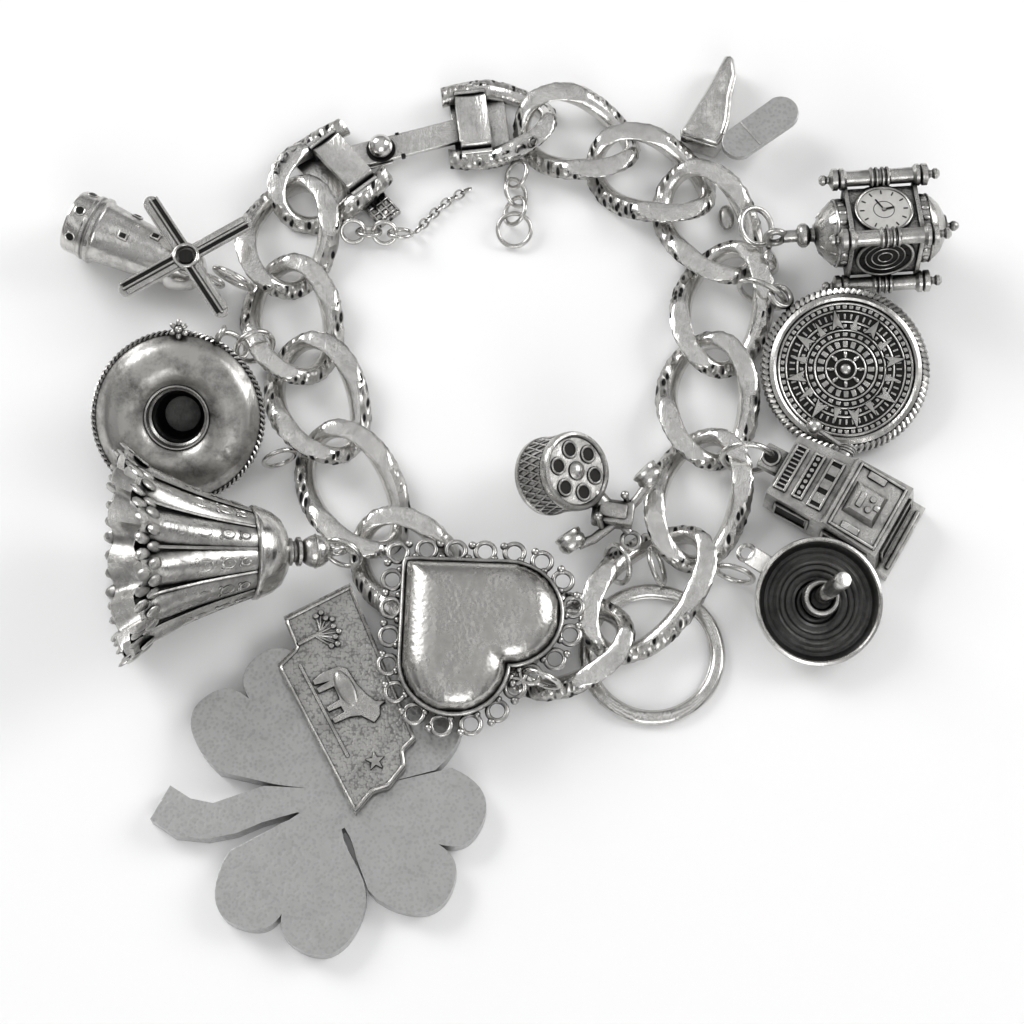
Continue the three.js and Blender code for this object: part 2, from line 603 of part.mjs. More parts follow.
{
  const group = charm(CLOCK.seat);
  const full = 2 * CLOCK.halfBody;
  const body = block(CLOCK.bodyLength, full, full);
  const endPlates = [-4.4, 4.4].map((x) => block(0.6, full + 1.0, full + 1.0, x));
  const ends = turned(
    [
      [0, -12.4], [0.8, -12.4], [0.8, -10.6], [1.5, -10.2], [1.5, -9.4], [0.8, -9.0], [1.0, -8.4],
      [2.8, -7.6], [4.2, -6.2], [4.2, -4.5], [4.2, 4.5], [4.2, 6.2], [3.2, 7.4], [1.6, 8], [1.2, 8.4],
      [0.4, 8.8], [0.65, 9.4], [0, 10.1],
    ],
    10,
  ).rotateY(Math.PI / 2);
  const posts = [[1, 1], [1, -1], [-1, 1], [-1, -1]].map(([ySide, zSide]) =>
    turned(
      [
        [0, -7.7], [0.7, -7.2], [0.5, -6.4], [1.4, -6.2], [1.4, -4.6], [1.0, -4.4], [1.0, -1.3], [1.3, -1.2],
        [1.3, 1.2], [1.0, 1.3], [1.0, 4.4], [1.4, 4.6], [1.4, 6.2], [0.5, 6.4], [0.7, 7.2], [0, 7.7],
      ],
      6,
    )
      .rotateY(Math.PI / 2)
      .translate(0, ySide * CLOCK.postOffset, zSide * CLOCK.postOffset),
  );
  const face = disc(CLOCK.dialRadius, 0.5, CLOCK.halfBody - 0.1, 16);
  const frontFace = face.clone().rotateX(Math.PI / 2);
  const clevis = hoop(1.15, 1.0).rotateX(Math.PI / 2).translate(-13.4, 0, 0);
  const clock = joined(body, ...endPlates, ends, face, frontFace, clevis, ...posts);
  seat("lantern_clock", clock, ANTIQUE, HERE, group);
}

seat(
  "pear_drop",
  joined(turned([[0, -2.2], [1.0, -1.8], [1.3, -0.8], [0.9, 0.5], [0.4, 1.2], [0, 1.5]], 10), ball(0.5, 0, 0, 1.8, 8)),
  POLISHED,
  { x: 33.1, y: 34.0, z: 1.8, roll: -70 },
);

// ---- a pair of shoes ----

{
  const side = outlineOf([
    [-1.2, 12.6], [0, 12.4], [0.2, 9.6], [-0.6, 6.4], [-1.0, 3.0], [-2.6, -0.6], [-7.2, 1.0], [-6.6, 2.6],
    [-4.2, 6.8],
  ]);
  seat("shoe_side", plate(side, 4.2, 0.1), POLISHED, { x: 29.3, y: 50.1 });

  const sole = new THREE.Shape();
  sole.absarc(3.6, 0, 2.3, -Math.PI / 2, Math.PI / 2, false);
  sole.absarc(-3.6, 0, 2.2, Math.PI / 2, (3 * Math.PI) / 2, false);
  const upper = block(6.4, 3.4, 2.6, 2.2, 0, -1.1);
  const shoe = joined(plate(sole, 0.9, 0, 6), upper);
  seat("shoe_sole", shoe, SATIN, { x: 32.2, y: 51.2, z: 4.7, heading: 38 });
}

seat("bean_tag", ball(1, 0, 0, 0, 10).scale(1.1, 1.8, 0.7), ANTIQUE, { x: 27.9, y: 40.4, z: 1.0 });

// ---- jump rings ----

// Each ring has its middle, the plan direction of its axis, how far the axis leans up, its radius
// to the middle of the wire and the wire's thickness.
const JUMP_RINGS = [
  { name: "windmill_ring", x: -35.6, y: 30.4, z: 3.8, axis: 62, lean: 10, radius: 2.6, wire: 0.8 },
  { name: "sombrero_ring_1", x: -35.3, y: 20.5, z: 5.0, axis: 32, lean: 53, radius: 2.0, wire: 0.8 },
  { name: "sombrero_ring_2", x: -32.6, y: 21.1, z: 3.3, axis: -67, lean: 22, radius: 2.4, wire: 0.8 },
  { name: "spare_ring", x: -29.1, y: 6.3, z: 2.4, axis: -70, lean: 2, radius: 2.0, wire: 0.6 },
  { name: "bell_ring", x: -20.8, y: -6.7, z: 3.6, axis: 70, lean: -20, roll: 1, radius: 2.3, wire: 0.7 },
  { name: "heart_ring_1", x: 3.6, y: -23.3, z: 5.5, axis: 69, lean: -1, roll: -10, radius: 2.2, wire: 0.7 },
  { name: "telephone_ring_1", x: 13.0, y: -7.8, z: 2.8, axis: 28, lean: -26, roll: -8, radius: 2.4, wire: 0.7 },
  { name: "telephone_ring_2", x: 17.8, y: -8.1, z: 2.9, axis: 12, lean: 23, radius: 2.3, wire: 0.7 },
  { name: "dish_ring", x: 27.4, y: -9.1, z: 2.7, axis: 72, lean: -1, roll: -11, radius: 2.3, wire: 0.7 },
  { name: "slot_machine_ring", x: 29.2, y: 5.7, z: 4.1, axis: 84, lean: -11, roll: 7, radius: 3.1, wire: 0.8 },
  { name: "medallion_ring", x: 31.8, y: 28.0, z: 4.1, axis: 65, lean: 0, radius: 3.1, wire: 0.75 },
  { name: "clock_ring", x: 31.2, y: 36.8, z: 5.6, axis: -18, lean: 60, radius: 2.4, wire: 0.8 },
];

for (const { name, x, y, z, axis, lean, roll = 0, radius, wire } of JUMP_RINGS) {
  const ring = hoop(radius, wire).rotateY(ANGLE(90 - lean));
  seat(name, ring, POLISHED, { x, y, z, heading: axis, roll });
}

// ---- the origin: on the table, under the middle of the whole bracelet ----

const whole = new THREE.Box3().setFromObject(bracelet, true);
const middle = whole.getCenter(new THREE.Vector3());
bracelet.position.set(-middle.x, -middle.y, -whole.min.z);

const root = new THREE.Group();
root.add(bracelet);

export default root;
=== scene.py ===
"""A silver charm bracelet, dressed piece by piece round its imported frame.

Every size below is in millimetres, in the plane that the bracelet lies on: +Z up, +Y towards the clasp.
Each class is one sub-assembly with its own sizes. It makes its meshes at the bench, in millimetres, and
the bench then carries them to their place in metres.
"""

import logging
import math
from collections.abc import Callable, Iterable
from dataclasses import dataclass, field
from enum import Enum

import bmesh
import bpy
from mathutils import Matrix, Vector, noise

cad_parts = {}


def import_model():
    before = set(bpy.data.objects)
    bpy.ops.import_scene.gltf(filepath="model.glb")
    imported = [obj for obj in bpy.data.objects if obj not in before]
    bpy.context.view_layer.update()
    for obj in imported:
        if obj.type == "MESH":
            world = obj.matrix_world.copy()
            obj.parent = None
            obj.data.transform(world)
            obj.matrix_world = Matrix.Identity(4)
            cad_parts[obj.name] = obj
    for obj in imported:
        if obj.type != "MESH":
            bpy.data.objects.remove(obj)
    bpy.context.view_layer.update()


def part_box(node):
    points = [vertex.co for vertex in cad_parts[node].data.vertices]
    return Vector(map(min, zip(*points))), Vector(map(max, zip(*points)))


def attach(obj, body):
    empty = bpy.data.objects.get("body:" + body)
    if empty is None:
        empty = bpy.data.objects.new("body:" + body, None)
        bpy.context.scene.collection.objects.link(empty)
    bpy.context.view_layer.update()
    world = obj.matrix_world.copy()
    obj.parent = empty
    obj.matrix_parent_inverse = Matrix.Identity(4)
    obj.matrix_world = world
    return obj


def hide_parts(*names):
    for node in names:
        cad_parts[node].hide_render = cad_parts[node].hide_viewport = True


MM = 0.001
STILL = Matrix.Identity(4)
FULL_TURN = 2 * math.pi
Outline = list[tuple[float, float]]
Triple = tuple[float, float, float]
Amount = float | tuple[float, ...]

log = logging.getLogger("bracelet")


# ---- finishes ----


class Grain(Enum):
    """How a silver surface was worked, named by the wear group's output for it."""

    BUFFED = "Scratches"
    BARK = "Bark"
    SATIN = "Mottle"
    PEBBLED = "Pebbles"


@dataclass(frozen=True)
class Silver:
    """One finish of sterling silver: its bright metal, its dark colour, and how far the dark spreads:
    tarnished patches and grain, and oxide with painted shade in the recesses.
    """

    name: str
    slot: str
    bright: Triple = (0.86, 0.85, 0.83)
    # The dark colour below serves tarnished patches and grain, and the recess darkening from ambient
    # occlusion, which is oxide in the hollows and painted shade.
    tarnish_and_shade: Triple = (0.10, 0.095, 0.09)
    roughness: float = 0.16
    recess: float = 0.6  # how dark the recesses are, 0 to 1
    reach: float = 0.7  # how far from a wall a recess stays dark
    patina: float = 0.1  # how much of the open surface is dulled
    grain: Grain = Grain.BUFFED
    grain_size: float = 0.5
    relief: float = 0.15
    cut: float = 0.0  # how dark the low places of the grain are, 0 to 1

    def material(self) -> bpy.types.Material:
        """The finish as a material, made once.

        Returns:
            The material of this name.
        """
        found = bpy.data.materials.get(self.name)
        if found:
            return found
        material = bpy.data.materials.new(self.name)
        material.use_nodes = True
        tree = material.node_tree
        shader = tree.nodes["Principled BSDF"]
        shader.inputs["Metallic"].default_value = 1.0
        place = tree.nodes.new("ShaderNodeTexCoord").outputs["Object"]
        wear = tree.nodes.new("ShaderNodeGroup")
        wear.node_tree = wear_group()
        wear.inputs["Grain Size"].default_value = self.grain_size * MM
        tree.links.new(place, wear.inputs["Vector"])
        # Ambient occlusion darkens the recesses: oxide in the hollows, and painted shade.
        occlusion = tree.nodes.new("ShaderNodeAmbientOcclusion")
        occlusion.samples = 6
        occlusion.only_local = True
        occlusion.inputs["Distance"].default_value = self.reach * MM
        shade = tree.nodes.new("ShaderNodeGroup")
        shade.node_tree = shade_group()
        tree.links.new(occlusion.outputs["AO"], shade.inputs["Open"])
        tree.links.new(wear.outputs["Patches"], shade.inputs["Patches"])
        shade.inputs["Recess"].default_value = self.recess
        shade.inputs["Patina"].default_value = self.patina
        shade.inputs["Cut"].default_value = self.cut
        tree.links.new(wear.outputs[self.grain.value], shade.inputs["Grain"])
        # The colour runs to the dark colour by the Dark mask: tarnished patches, grain and oxide, and painted
        # shade in the recesses.
        colour = mixed(tree, "RGBA", shade.outputs["Dark"], (*self.bright, 1), (*self.tarnish_and_shade, 1))
        tree.links.new(colour, shader.inputs["Base Color"])
        rough = mixed(tree, "FLOAT", shade.outputs["Dark"], self.roughness, 0.55)
        tree.links.new(rough, shader.inputs["Roughness"])
        bump = tree.nodes.new("ShaderNodeBump")
        bump.inputs["Strength"].default_value = 1.0
        bump.inputs["Distance"].default_value = self.relief * self.grain_size * MM
        tree.links.new(wear.outputs[self.grain.value], bump.inputs["Height"])
        tree.links.new(bump.outputs["Normal"], shader.inputs["Normal"])
        return material


def mixed(
    tree: bpy.types.NodeTree, kind: str, factor: bpy.types.NodeSocket, low: Amount, high: Amount
) -> bpy.types.NodeSocket:
    """A mix of two values or colours.

    Args:
        tree: Where the node goes.
        kind: RGBA or FLOAT.
        factor: 0 gives low, 1 gives high.
        low: The value or colour at 0.
        high: The value or colour at 1.

    Returns:
        The mixed output.
    """
    node = tree.nodes.new("ShaderNodeMix")
    node.data_type = kind
    first = 6 if kind == "RGBA" else 2
    node.inputs[first].default_value = low
    node.inputs[first + 1].default_value = high
    tree.links.new(factor, node.inputs[0])
    return node.outputs[2 if kind == "RGBA" else 0]


def calculated(
    tree: bpy.types.NodeTree, how: str, *values: bpy.types.NodeSocket | float
) -> bpy.types.NodeSocket:
    """A sum on sockets and plain numbers.

    Args:
        tree: Where the node goes.
        how: The operation of the Math node.
        values: Its inputs, in order.

    Returns:
        The result's output.
    """
    node = tree.nodes.new("ShaderNodeMath")
    node.operation = how
    for socket, value in zip(node.inputs, values):
        if isinstance(value, bpy.types.NodeSocket):
            tree.links.new(value, socket)
        else:
            socket.default_value = value
    return node.outputs[0]


def ranged(
    tree: bpy.types.NodeTree, value: bpy.types.NodeSocket, source: tuple[float, float],
    target: tuple[float, float] = (0.0, 1.0), smooth: bool = True,
) -> bpy.types.NodeSocket:
    """A value carried from one range to another.

    Args:
        tree: Where the node goes.
        value: The value.
        source: The range that it has.
        target: The range that it gets.
        smooth: Whether it eases in and out.

    Returns:
        The carried output.
    """
    node = tree.nodes.new("ShaderNodeMapRange")
    node.interpolation_type = "SMOOTHSTEP" if smooth else "LINEAR"
    for label, limit in zip(("From Min", "From Max", "To Min", "To Max"), (*source, *target)):
        node.inputs[label].default_value = limit
    tree.links.new(value, node.inputs["Value"])
    return node.outputs["Result"]


def new_group(
    name: str, inputs: Iterable[tuple[str, str, float | None]], outputs: Iterable[str]
) -> tuple[bpy.types.NodeTree, bpy.types.Node, bpy.types.Node]:
    """An empty node group with named sockets.

    Args:
        name: The group's name.
        inputs: Each input's name, socket type and default.
        outputs: The names of its values.

    Returns:
        The group, its input node and its output node.
    """
    group = bpy.data.node_groups.new(name, "ShaderNodeTree")
    for label, kind, default in inputs:
        socket = group.interface.new_socket(name=label, in_out="INPUT", socket_type=kind)
        if default is not None:
            socket.default_value = default
    for label in outputs:
        group.interface.new_socket(name=label, in_out="OUTPUT", socket_type="NodeSocketFloat")
    return group, group.nodes.new("NodeGroupInput"), group.nodes.new("NodeGroupOutput")


def wear_group() -> bpy.types.NodeTree:
    """Scratches, bark, mottling, pebbles and tarnished patches, as heights and masks on the metal.

    Returns:
        The node group, made once.
    """
    found = bpy.data.node_groups.get("silver_wear")
    if found:
        return found
    outputs = ("Scratches", "Bark", "Mottle", "Pebbles", "Patches")
    inputs = (("Vector", "NodeSocketVector", None), ("Grain Size", "NodeSocketFloat", 0.001))
    group, given, result = new_group("silver_wear", inputs, outputs)
    fine = calculated(group, "DIVIDE", 1.0, given.outputs["Grain Size"])

    def texture(
        kind: str, detail: dict[str, float], stretch: Triple, scale: bpy.types.NodeSocket | None = None
    ) -> bpy.types.Node:
        """One pattern on the metal.

        Args:
            kind: The texture node's type.
            detail: Its settings.
            stretch: How much finer it is along each axis.
            scale: What drives its scale, if anything.

        Returns:
            The texture node.
        """
        node = group.nodes.new(kind)
        mapping = group.nodes.new("ShaderNodeMapping")
        mapping.inputs["Scale"].default_value = stretch
        group.links.new(given.outputs["Vector"], mapping.inputs["Vector"])
        group.links.new(mapping.outputs["Vector"], node.inputs["Vector"])
        for label, value in detail.items():
            node.inputs[label].default_value = value
        if scale is not None:
            group.links.new(scale, node.inputs["Scale"])
        return node

    soft = {"Detail": 4.0, "Roughness": 0.6}
    scratches = texture("ShaderNodeTexNoise", soft, (1, 0.15, 1), fine)
    group.links.new(scratches.outputs["Fac"], result.inputs["Scratches"])
    bark = texture("ShaderNodeTexVoronoi", {}, (1, 0.35, 0.6), fine)
    group.links.new(bark.outputs["Distance"], result.inputs["Bark"])
    mottle = texture("ShaderNodeTexVoronoi", {"Randomness": 1.0}, (1, 1, 1), fine)
    mottle.feature = "SMOOTH_F1"
    group.links.new(mottle.outputs["Distance"], result.inputs["Mottle"])
    pebbles = texture("ShaderNodeTexVoronoi", {"Randomness": 0.7}, (1, 1, 1), fine)
    rounded = calculated(group, "SUBTRACT", 1.0, pebbles.outputs["Distance"])
    group.links.new(rounded, result.inputs["Pebbles"])
    patches = texture("ShaderNodeTexNoise", {"Scale": 320.0, "Detail": 6.0, "Roughness": 0.68}, (1, 1, 1))
    spread = ranged(group, patches.outputs["Fac"], (0.42, 0.68), smooth=False)
    group.links.new(spread, result.inputs["Patches"])
    return group


def shade_group() -> bpy.types.NodeTree:
    """How dark the silver is: its recesses, darkened by ambient occlusion as oxide and painted shade, its
    patina's patches, and the low places of its grain.

    Returns:
        The node group, made once.
    """
    found = bpy.data.node_groups.get("silver_shade")
    if found:
        return found
    kind = "NodeSocketFloat"
    inputs = (
        ("Open", kind, 1.0), ("Patches", kind, 0.0), ("Recess", kind, 0.5), ("Patina", kind, 0.1),
        ("Grain", kind, 0.5), ("Cut", kind, 0.0),
    )
    group, given, result = new_group("silver_shade", inputs, ("Dark",))
    # The recesses, from ambient occlusion: oxide in the hollows, and painted shade.
    closed = calculated(group, "SUBTRACT", 1.0, given.outputs["Open"])
    recess = calculated(group, "MULTIPLY", ranged(group, closed, (0.04, 0.5)), given.outputs["Recess"])
    patina = calculated(group, "MULTIPLY", given.outputs["Patches"], given.outputs["Patina"])
    low = ranged(group, given.outputs["Grain"], (0.22, 0.46), (1.0, 0.0))
    grooves = calculated(group, "MULTIPLY", low, given.outputs["Cut"])
    dark = calculated(group, "ADD", calculated(group, "ADD", recess, patina), grooves)
    dark.node.use_clamp = True
    group.links.new(dark, result.inputs["Dark"])
    return group


POLISHED = Silver(
    "bright_wire", "polished_silver", (0.70, 0.69, 0.67), roughness=0.17, recess=0.9, reach=1.2, patina=0.5,
    relief=0.05,
)
LINK_BARK = Silver(
    "gouged_bark", "bark_silver", (0.58, 0.57, 0.55), (0.015, 0.015, 0.015), roughness=0.24, recess=1.0,
    reach=1.3, patina=0.45, grain=Grain.BARK, grain_size=0.8, relief=0.5, cut=0.95,
)
LINK_FLAT = Silver(
    "bright_cut", "bark_silver", (0.76, 0.75, 0.73), (0.03, 0.03, 0.03), roughness=0.17, recess=1.0,
    reach=1.9, patina=0.25, relief=0.12,
)
SATIN = Silver(
    "mottled_satin", "satin_silver", (0.56, 0.56, 0.555), (0.22, 0.22, 0.22), roughness=0.34, recess=0.4,
    patina=0.2, grain=Grain.SATIN, grain_size=0.45, relief=0.1, cut=0.22,
)
DOME = Silver(
    "satin_dome", "polished_silver", (0.56, 0.55, 0.53), roughness=0.24, recess=0.9, patina=0.3,
    grain=Grain.SATIN, grain_size=0.5, relief=0.06,
)
# Antique silver: its recesses are dark with oxide and with painted shade.
ANTIQUE = Silver(
    "relief_oxide_and_painted_shade", "antique_silver", (0.62, 0.61, 0.59), (0.012, 0.012, 0.011), roughness=0.23,
    recess=1.0, reach=2.1, patina=0.55, relief=0.1,
)
PEBBLE = Silver(
    "pebbled_ground", "antique_silver", (0.50, 0.495, 0.48), (0.03, 0.03, 0.03), roughness=0.36, recess=0.95,
    reach=1.0, patina=0.3, grain=Grain.PEBBLED, grain_size=0.35, relief=0.2, cut=0.4,
)
# Its long reach darkens the hat's hollow crown: patina and oxide, and painted shade.
PATINATED = Silver(
    "patinated_brim", "antique_silver", (0.50, 0.49, 0.47), (0.03, 0.028, 0.026), roughness=0.28, recess=1.0,
    reach=3.2, patina=0.75, relief=0.08,
)
PALE = Silver("pale_dial", "antique_silver", (0.88, 0.87, 0.84), roughness=0.45, recess=0.3, patina=0.15)
# Near-black metal: the dish's own blackened inside, and painted shade deep in the hat's crown.
BLACKENED_AND_SHADE = Silver(
    "blackened_dish_and_painted_shade", "blackened_silver", (0.10, 0.099, 0.097), (0.006, 0.006, 0.006), roughness=0.32,
    recess=1.0, reach=1.6, patina=0.5, relief=0.1,
)
# Near-black metal: the medallion's ground, the framed floors and the clock's marks and hands, and painted
# shade where it fills holes, slits and channels and rings the clasp's ball.
BLACK_AND_SHADE = Silver("black_and_painted_shade", "antique_silver", (0.03, 0.029, 0.028), (0.01, 0.01, 0.01), roughness=0.5)


# ---- the bench ----


def place(x: float, y: float, z: float = 0, heading: float = 0, nod: float = 0, roll: float = 0) -> Matrix:
    """Turned by roll about X, then nod about Y, then heading about Z, in degrees, then moved."""
    turn = turned("Z", heading) @ turned("Y", nod) @ turned("X", roll)
    return Matrix.Translation((x, y, z)) @ turn


def turned(axis: str, degrees: float) -> Matrix:
    """A turn about one axis."""
    return Matrix.Rotation(math.radians(degrees), 4, axis)


def moved(x: float, y: float, z: float) -> Matrix:
    """A move without a turn."""
    return Matrix.Translation((x, y, z))


def stretched(x: float, y: float, z: float) -> Matrix:
    """A stretch along each axis."""
    return Matrix.Diagonal((x, y, z, 1))


ALONG_X = turned("Y", 90)


def spin(shape: bmesh.types.BMesh, geom: list[bmesh.types.BMVert | bmesh.types.BMEdge], steps: int) -> None:
    """Turns a profile round Z in place and closes the body.

    Args:
        shape: The mesh that holds the profile.
        geom: The profile's corners and edges.
        steps: Facets round it.
    """
    bmesh.ops.spin(
        shape, geom=geom, axis=(0, 0, 1), cent=(0, 0, 0), angle=FULL_TURN, steps=steps, use_merge=True
    )
    bmesh.ops.remove_doubles(shape, verts=shape.verts, dist=0.001)
    bmesh.ops.recalc_face_normals(shape, faces=shape.faces)


def lathe(outline: Outline, steps: int = 48) -> bmesh.types.BMesh:
    """A body turned about Z.

    Args:
        outline: Its radius and height at each corner, from axis to axis.
        steps: Facets round it.

    Returns:
        The closed body.
    """
    shape = bmesh.new()
    corners = [shape.verts.new((radius, 0, height)) for radius, height in outline]
    edges = [shape.edges.new(pair) for pair in zip(corners, corners[1:])]
    spin(shape, corners + edges, steps)
    return shape


def softened(outline: Outline, between: int = 3) -> Outline:
    """The outline as a smooth curve through its corners, with more points between them.

    Args:
        outline: Its corners.
        between: How many points each stretch gets.

    Returns:
        The smooth outline.
    """
    first, last = outline[0], outline[-1]
    padded = [first, *outline, last]
    curve: Outline = []
    for before, start, end, after in zip(padded, padded[1:], padded[2:], padded[3:]):
        for i in range(between):
            t = i / between
            curve.append(tuple(catmull(a, b, c, d, t) for a, b, c, d in zip(before, start, end, after)))
    return [(max(radius, 0), height) for radius, height in [*curve, last]]


def catmull(a: float, b: float, c: float, d: float, t: float) -> float:
    """A value between b and c on the smooth curve through a, b, c and d."""
    return b + 0.5 * t * (c - a + t * (2 * a - 5 * b + 4 * c - d + t * (3 * (b - c) + d - a)))


def hoop(radius: float, wire: float, steps: int = 48, sides: int = 12) -> bmesh.types.BMesh:
    """A ring of round wire about Z.

    Args:
        radius: To the middle of the wire.
        wire: Its thickness.
        steps: Facets round the ring.
        sides: Facets round the wire.

    Returns:
        The closed ring.
    """
    shape = bmesh.new()
    stand = moved(radius, 0, 0) @ turned("X", 90)
    section = bmesh.ops.create_circle(shape, segments=sides, radius=wire / 2, matrix=stand)["verts"]
    spin(shape, section + list(shape.edges), steps)
    return shape


def block(length: float, width: float, height: float, edge: float = 0.15) -> bmesh.types.BMesh:
    """A block about the origin with rounded edges.

    Args:
        length: Along X.
        width: Along Y.
        height: Along Z.
        edge: How far its edges are rounded.

    Returns:
        The closed block.
    """
    shape = bmesh.new()
    bmesh.ops.create_cube(shape, size=1, matrix=stretched(length, width, height))
    round_off(shape, shape.edges, edge)
    return shape


def round_off(
    shape: bmesh.types.BMesh, edges: Iterable[bmesh.types.BMEdge], width: float, segments: int = 2
) -> None:
    """Rounds edges off in place.

    Args:
        shape: The mesh.
        edges: The edges.
        width: How far.
        segments: How many facets each edge gets.
    """
    if width > 0:
        bmesh.ops.bevel(
            shape, geom=list(edges), offset=width, offset_type="OFFSET", affect="EDGES", segments=segments,
            profile=0.5, material=-1, clamp_overlap=True,
        )


def disc(
    radius: float, height: float, z: float = 0, top: float | None = None, sides: int = 32
) -> bmesh.types.BMesh:
    """A disc or pin about Z that stands on z, with its own radius at the top if one is given.

    Args:
        radius: At the bottom.
        height: Along Z.
        z: Its underside.
        top: Its radius at the top, if it differs.
        sides: Facets round it.

    Returns:
        The closed disc.
    """
    shape = bmesh.new()
    bmesh.ops.create_cone(
        shape, cap_ends=True, segments=sides, radius1=radius, radius2=radius if top is None else top,
        depth=height, matrix=moved(0, 0, z + height / 2),
    )
    return shape


def ball(radius: float, sides: int = 20) -> bmesh.types.BMesh:
    """A ball about the origin.

    Args:
        radius: Its radius.
        sides: Facets round it.

    Returns:
        The closed ball.
    """
    shape = bmesh.new()
    bmesh.ops.create_uvsphere(shape, u_segments=sides, v_segments=sides // 2, radius=radius)
    return shape


def slab(outline: Outline, thickness: float, edge: float = 0.15) -> bmesh.types.BMesh:
    """A flat outline thickened upwards from z = 0, its top edge rounded.

    Args:
        outline: Its corners in order.
        thickness: How thick it is.
        edge: How far its top edge is rounded.

    Returns:
        The closed slab.
    """
    shape = bmesh.new()
    base = shape.faces.new([shape.verts.new((x, y, 0)) for x, y in outline])
    lifted = bmesh.ops.extrude_face_region(shape, geom=[base], use_keep_orig=True)["geom"]
    raised = [v for v in lifted if isinstance(v, bmesh.types.BMVert)]
    bmesh.ops.translate(shape, verts=raised, vec=(0, 0, thickness))
    bmesh.ops.recalc_face_normals(shape, faces=shape.faces)
    rim = [e for e in shape.edges if all(v.co.z > thickness / 2 for v in e.verts)]
    round_off(shape, rim, edge)
    return shape


def rod(
    start: Triple, end: Triple, radius: float, top: float | None = None, sides: int = 16
) -> bmesh.types.BMesh:
    """A round wire between two points.

    Args:
        start: Its first end.
        end: Its last end.
        radius: At its start.
        top: At its end, if it differs.
        sides: Facets round it.

    Returns:
        The closed wire.
    """
    run = Vector(end) - Vector(start)
    shape = disc(radius, run.length, 0, top, sides)
    turn = Vector((0, 0, 1)).rotation_difference(run).to_matrix().to_4x4()
    bmesh.ops.transform(shape, matrix=moved(*start) @ turn, verts=shape.verts)
    return shape


def tube(route: list[Triple], wire: float, sides: int = 8, closed: bool = False) -> bmesh.types.BMesh:
    """A round wire bent along a route.

    Args:
        route: The points that it follows.
        wire: Its thickness.
        sides: Facets round it.
        closed: Whether its end meets its start.

    Returns:
        The wire, with its ends closed.
    """
    shape = bmesh.new()
    points = [Vector(point) for point in route]
    count = len(points)
    loops = []
    for i, point in enumerate(points):
        before = points[i - 1] if i or closed else point
        after = points[(i + 1) % count] if i < count - 1 or closed else point
        turn = (after - before).to_track_quat("Z", "Y").to_matrix().to_4x4()
        made = bmesh.ops.create_circle(
            shape, cap_ends=not closed and i in (0, count - 1), segments=sides, radius=wire / 2,
            matrix=Matrix.Translation(point) @ turn,
        )["verts"]
        loops.append({e for v in made for e in v.link_edges if e.other_vert(v) in made})
    pairs = list(zip(loops, loops[1:])) + ([(loops[-1], loops[0])] if closed else [])
    for one, other in pairs:
        bmesh.ops.bridge_loops(shape, edges=list(one | other))
    bmesh.ops.recalc_face_normals(shape, faces=shape.faces)
    return shape


def rope(radius: float, thickness: float, turns: int, strands: int = 2) -> bmesh.types.BMesh:
    """A twisted rope laid in a ring about Z.

    Args:
        radius: To the middle of the rope.
        thickness: Over both strands.
        turns: How many times each strand goes round the rope.
        strands: How many strands it has.

    Returns:
        The rope as one mesh.
    """
    work = Work()
    steps = turns * 6
    swing = thickness * 0.27
    for strand in range(strands):
        route = []
        for i in range(steps):
            around = FULL_TURN * i / steps
            twist = turns * around + FULL_TURN * strand / strands
            reach = radius + swing * math.cos(twist)
            route.append((reach * math.cos(around), reach * math.sin(around), swing * math.sin(twist)))
        work.add(tube(route, thickness * 0.5, 6, closed=True))
    return work.mesh


def warped(shape: bmesh.types.BMesh, how: Callable[[Vector], Triple]) -> bmesh.types.BMesh:
    """The shape with each of its corners moved.

    Args:
        shape: The mesh.
        how: Where a corner goes.

    Returns:
        The same mesh.
    """
    for corner in shape.verts:
        corner.co = how(corner.co)
    return shape


@dataclass
class Work:
    """One piece being made at the bench."""

    mesh: bmesh.types.BMesh = field(default_factory=bmesh.new)

    def add(self, shape: bmesh.types.BMesh, where: Matrix = STILL, finish: int = 0) -> "Work":
        """Joins a shape to the piece.

        Args:
            shape: The shape, which is used up.
            where: Its place on the piece.
            finish: Which of the piece's finishes it has.

        Returns:
            The piece.
        """
        bmesh.ops.transform(shape, matrix=where, verts=shape.verts)
        if finish:
            for face in shape.faces:
                face.material_index = finish
        carried = bpy.data.meshes.new("carried")
        shape.to_mesh(carried)
        shape.free()
        self.mesh.from_mesh(carried)
        bpy.data.meshes.remove(carried)
        return self


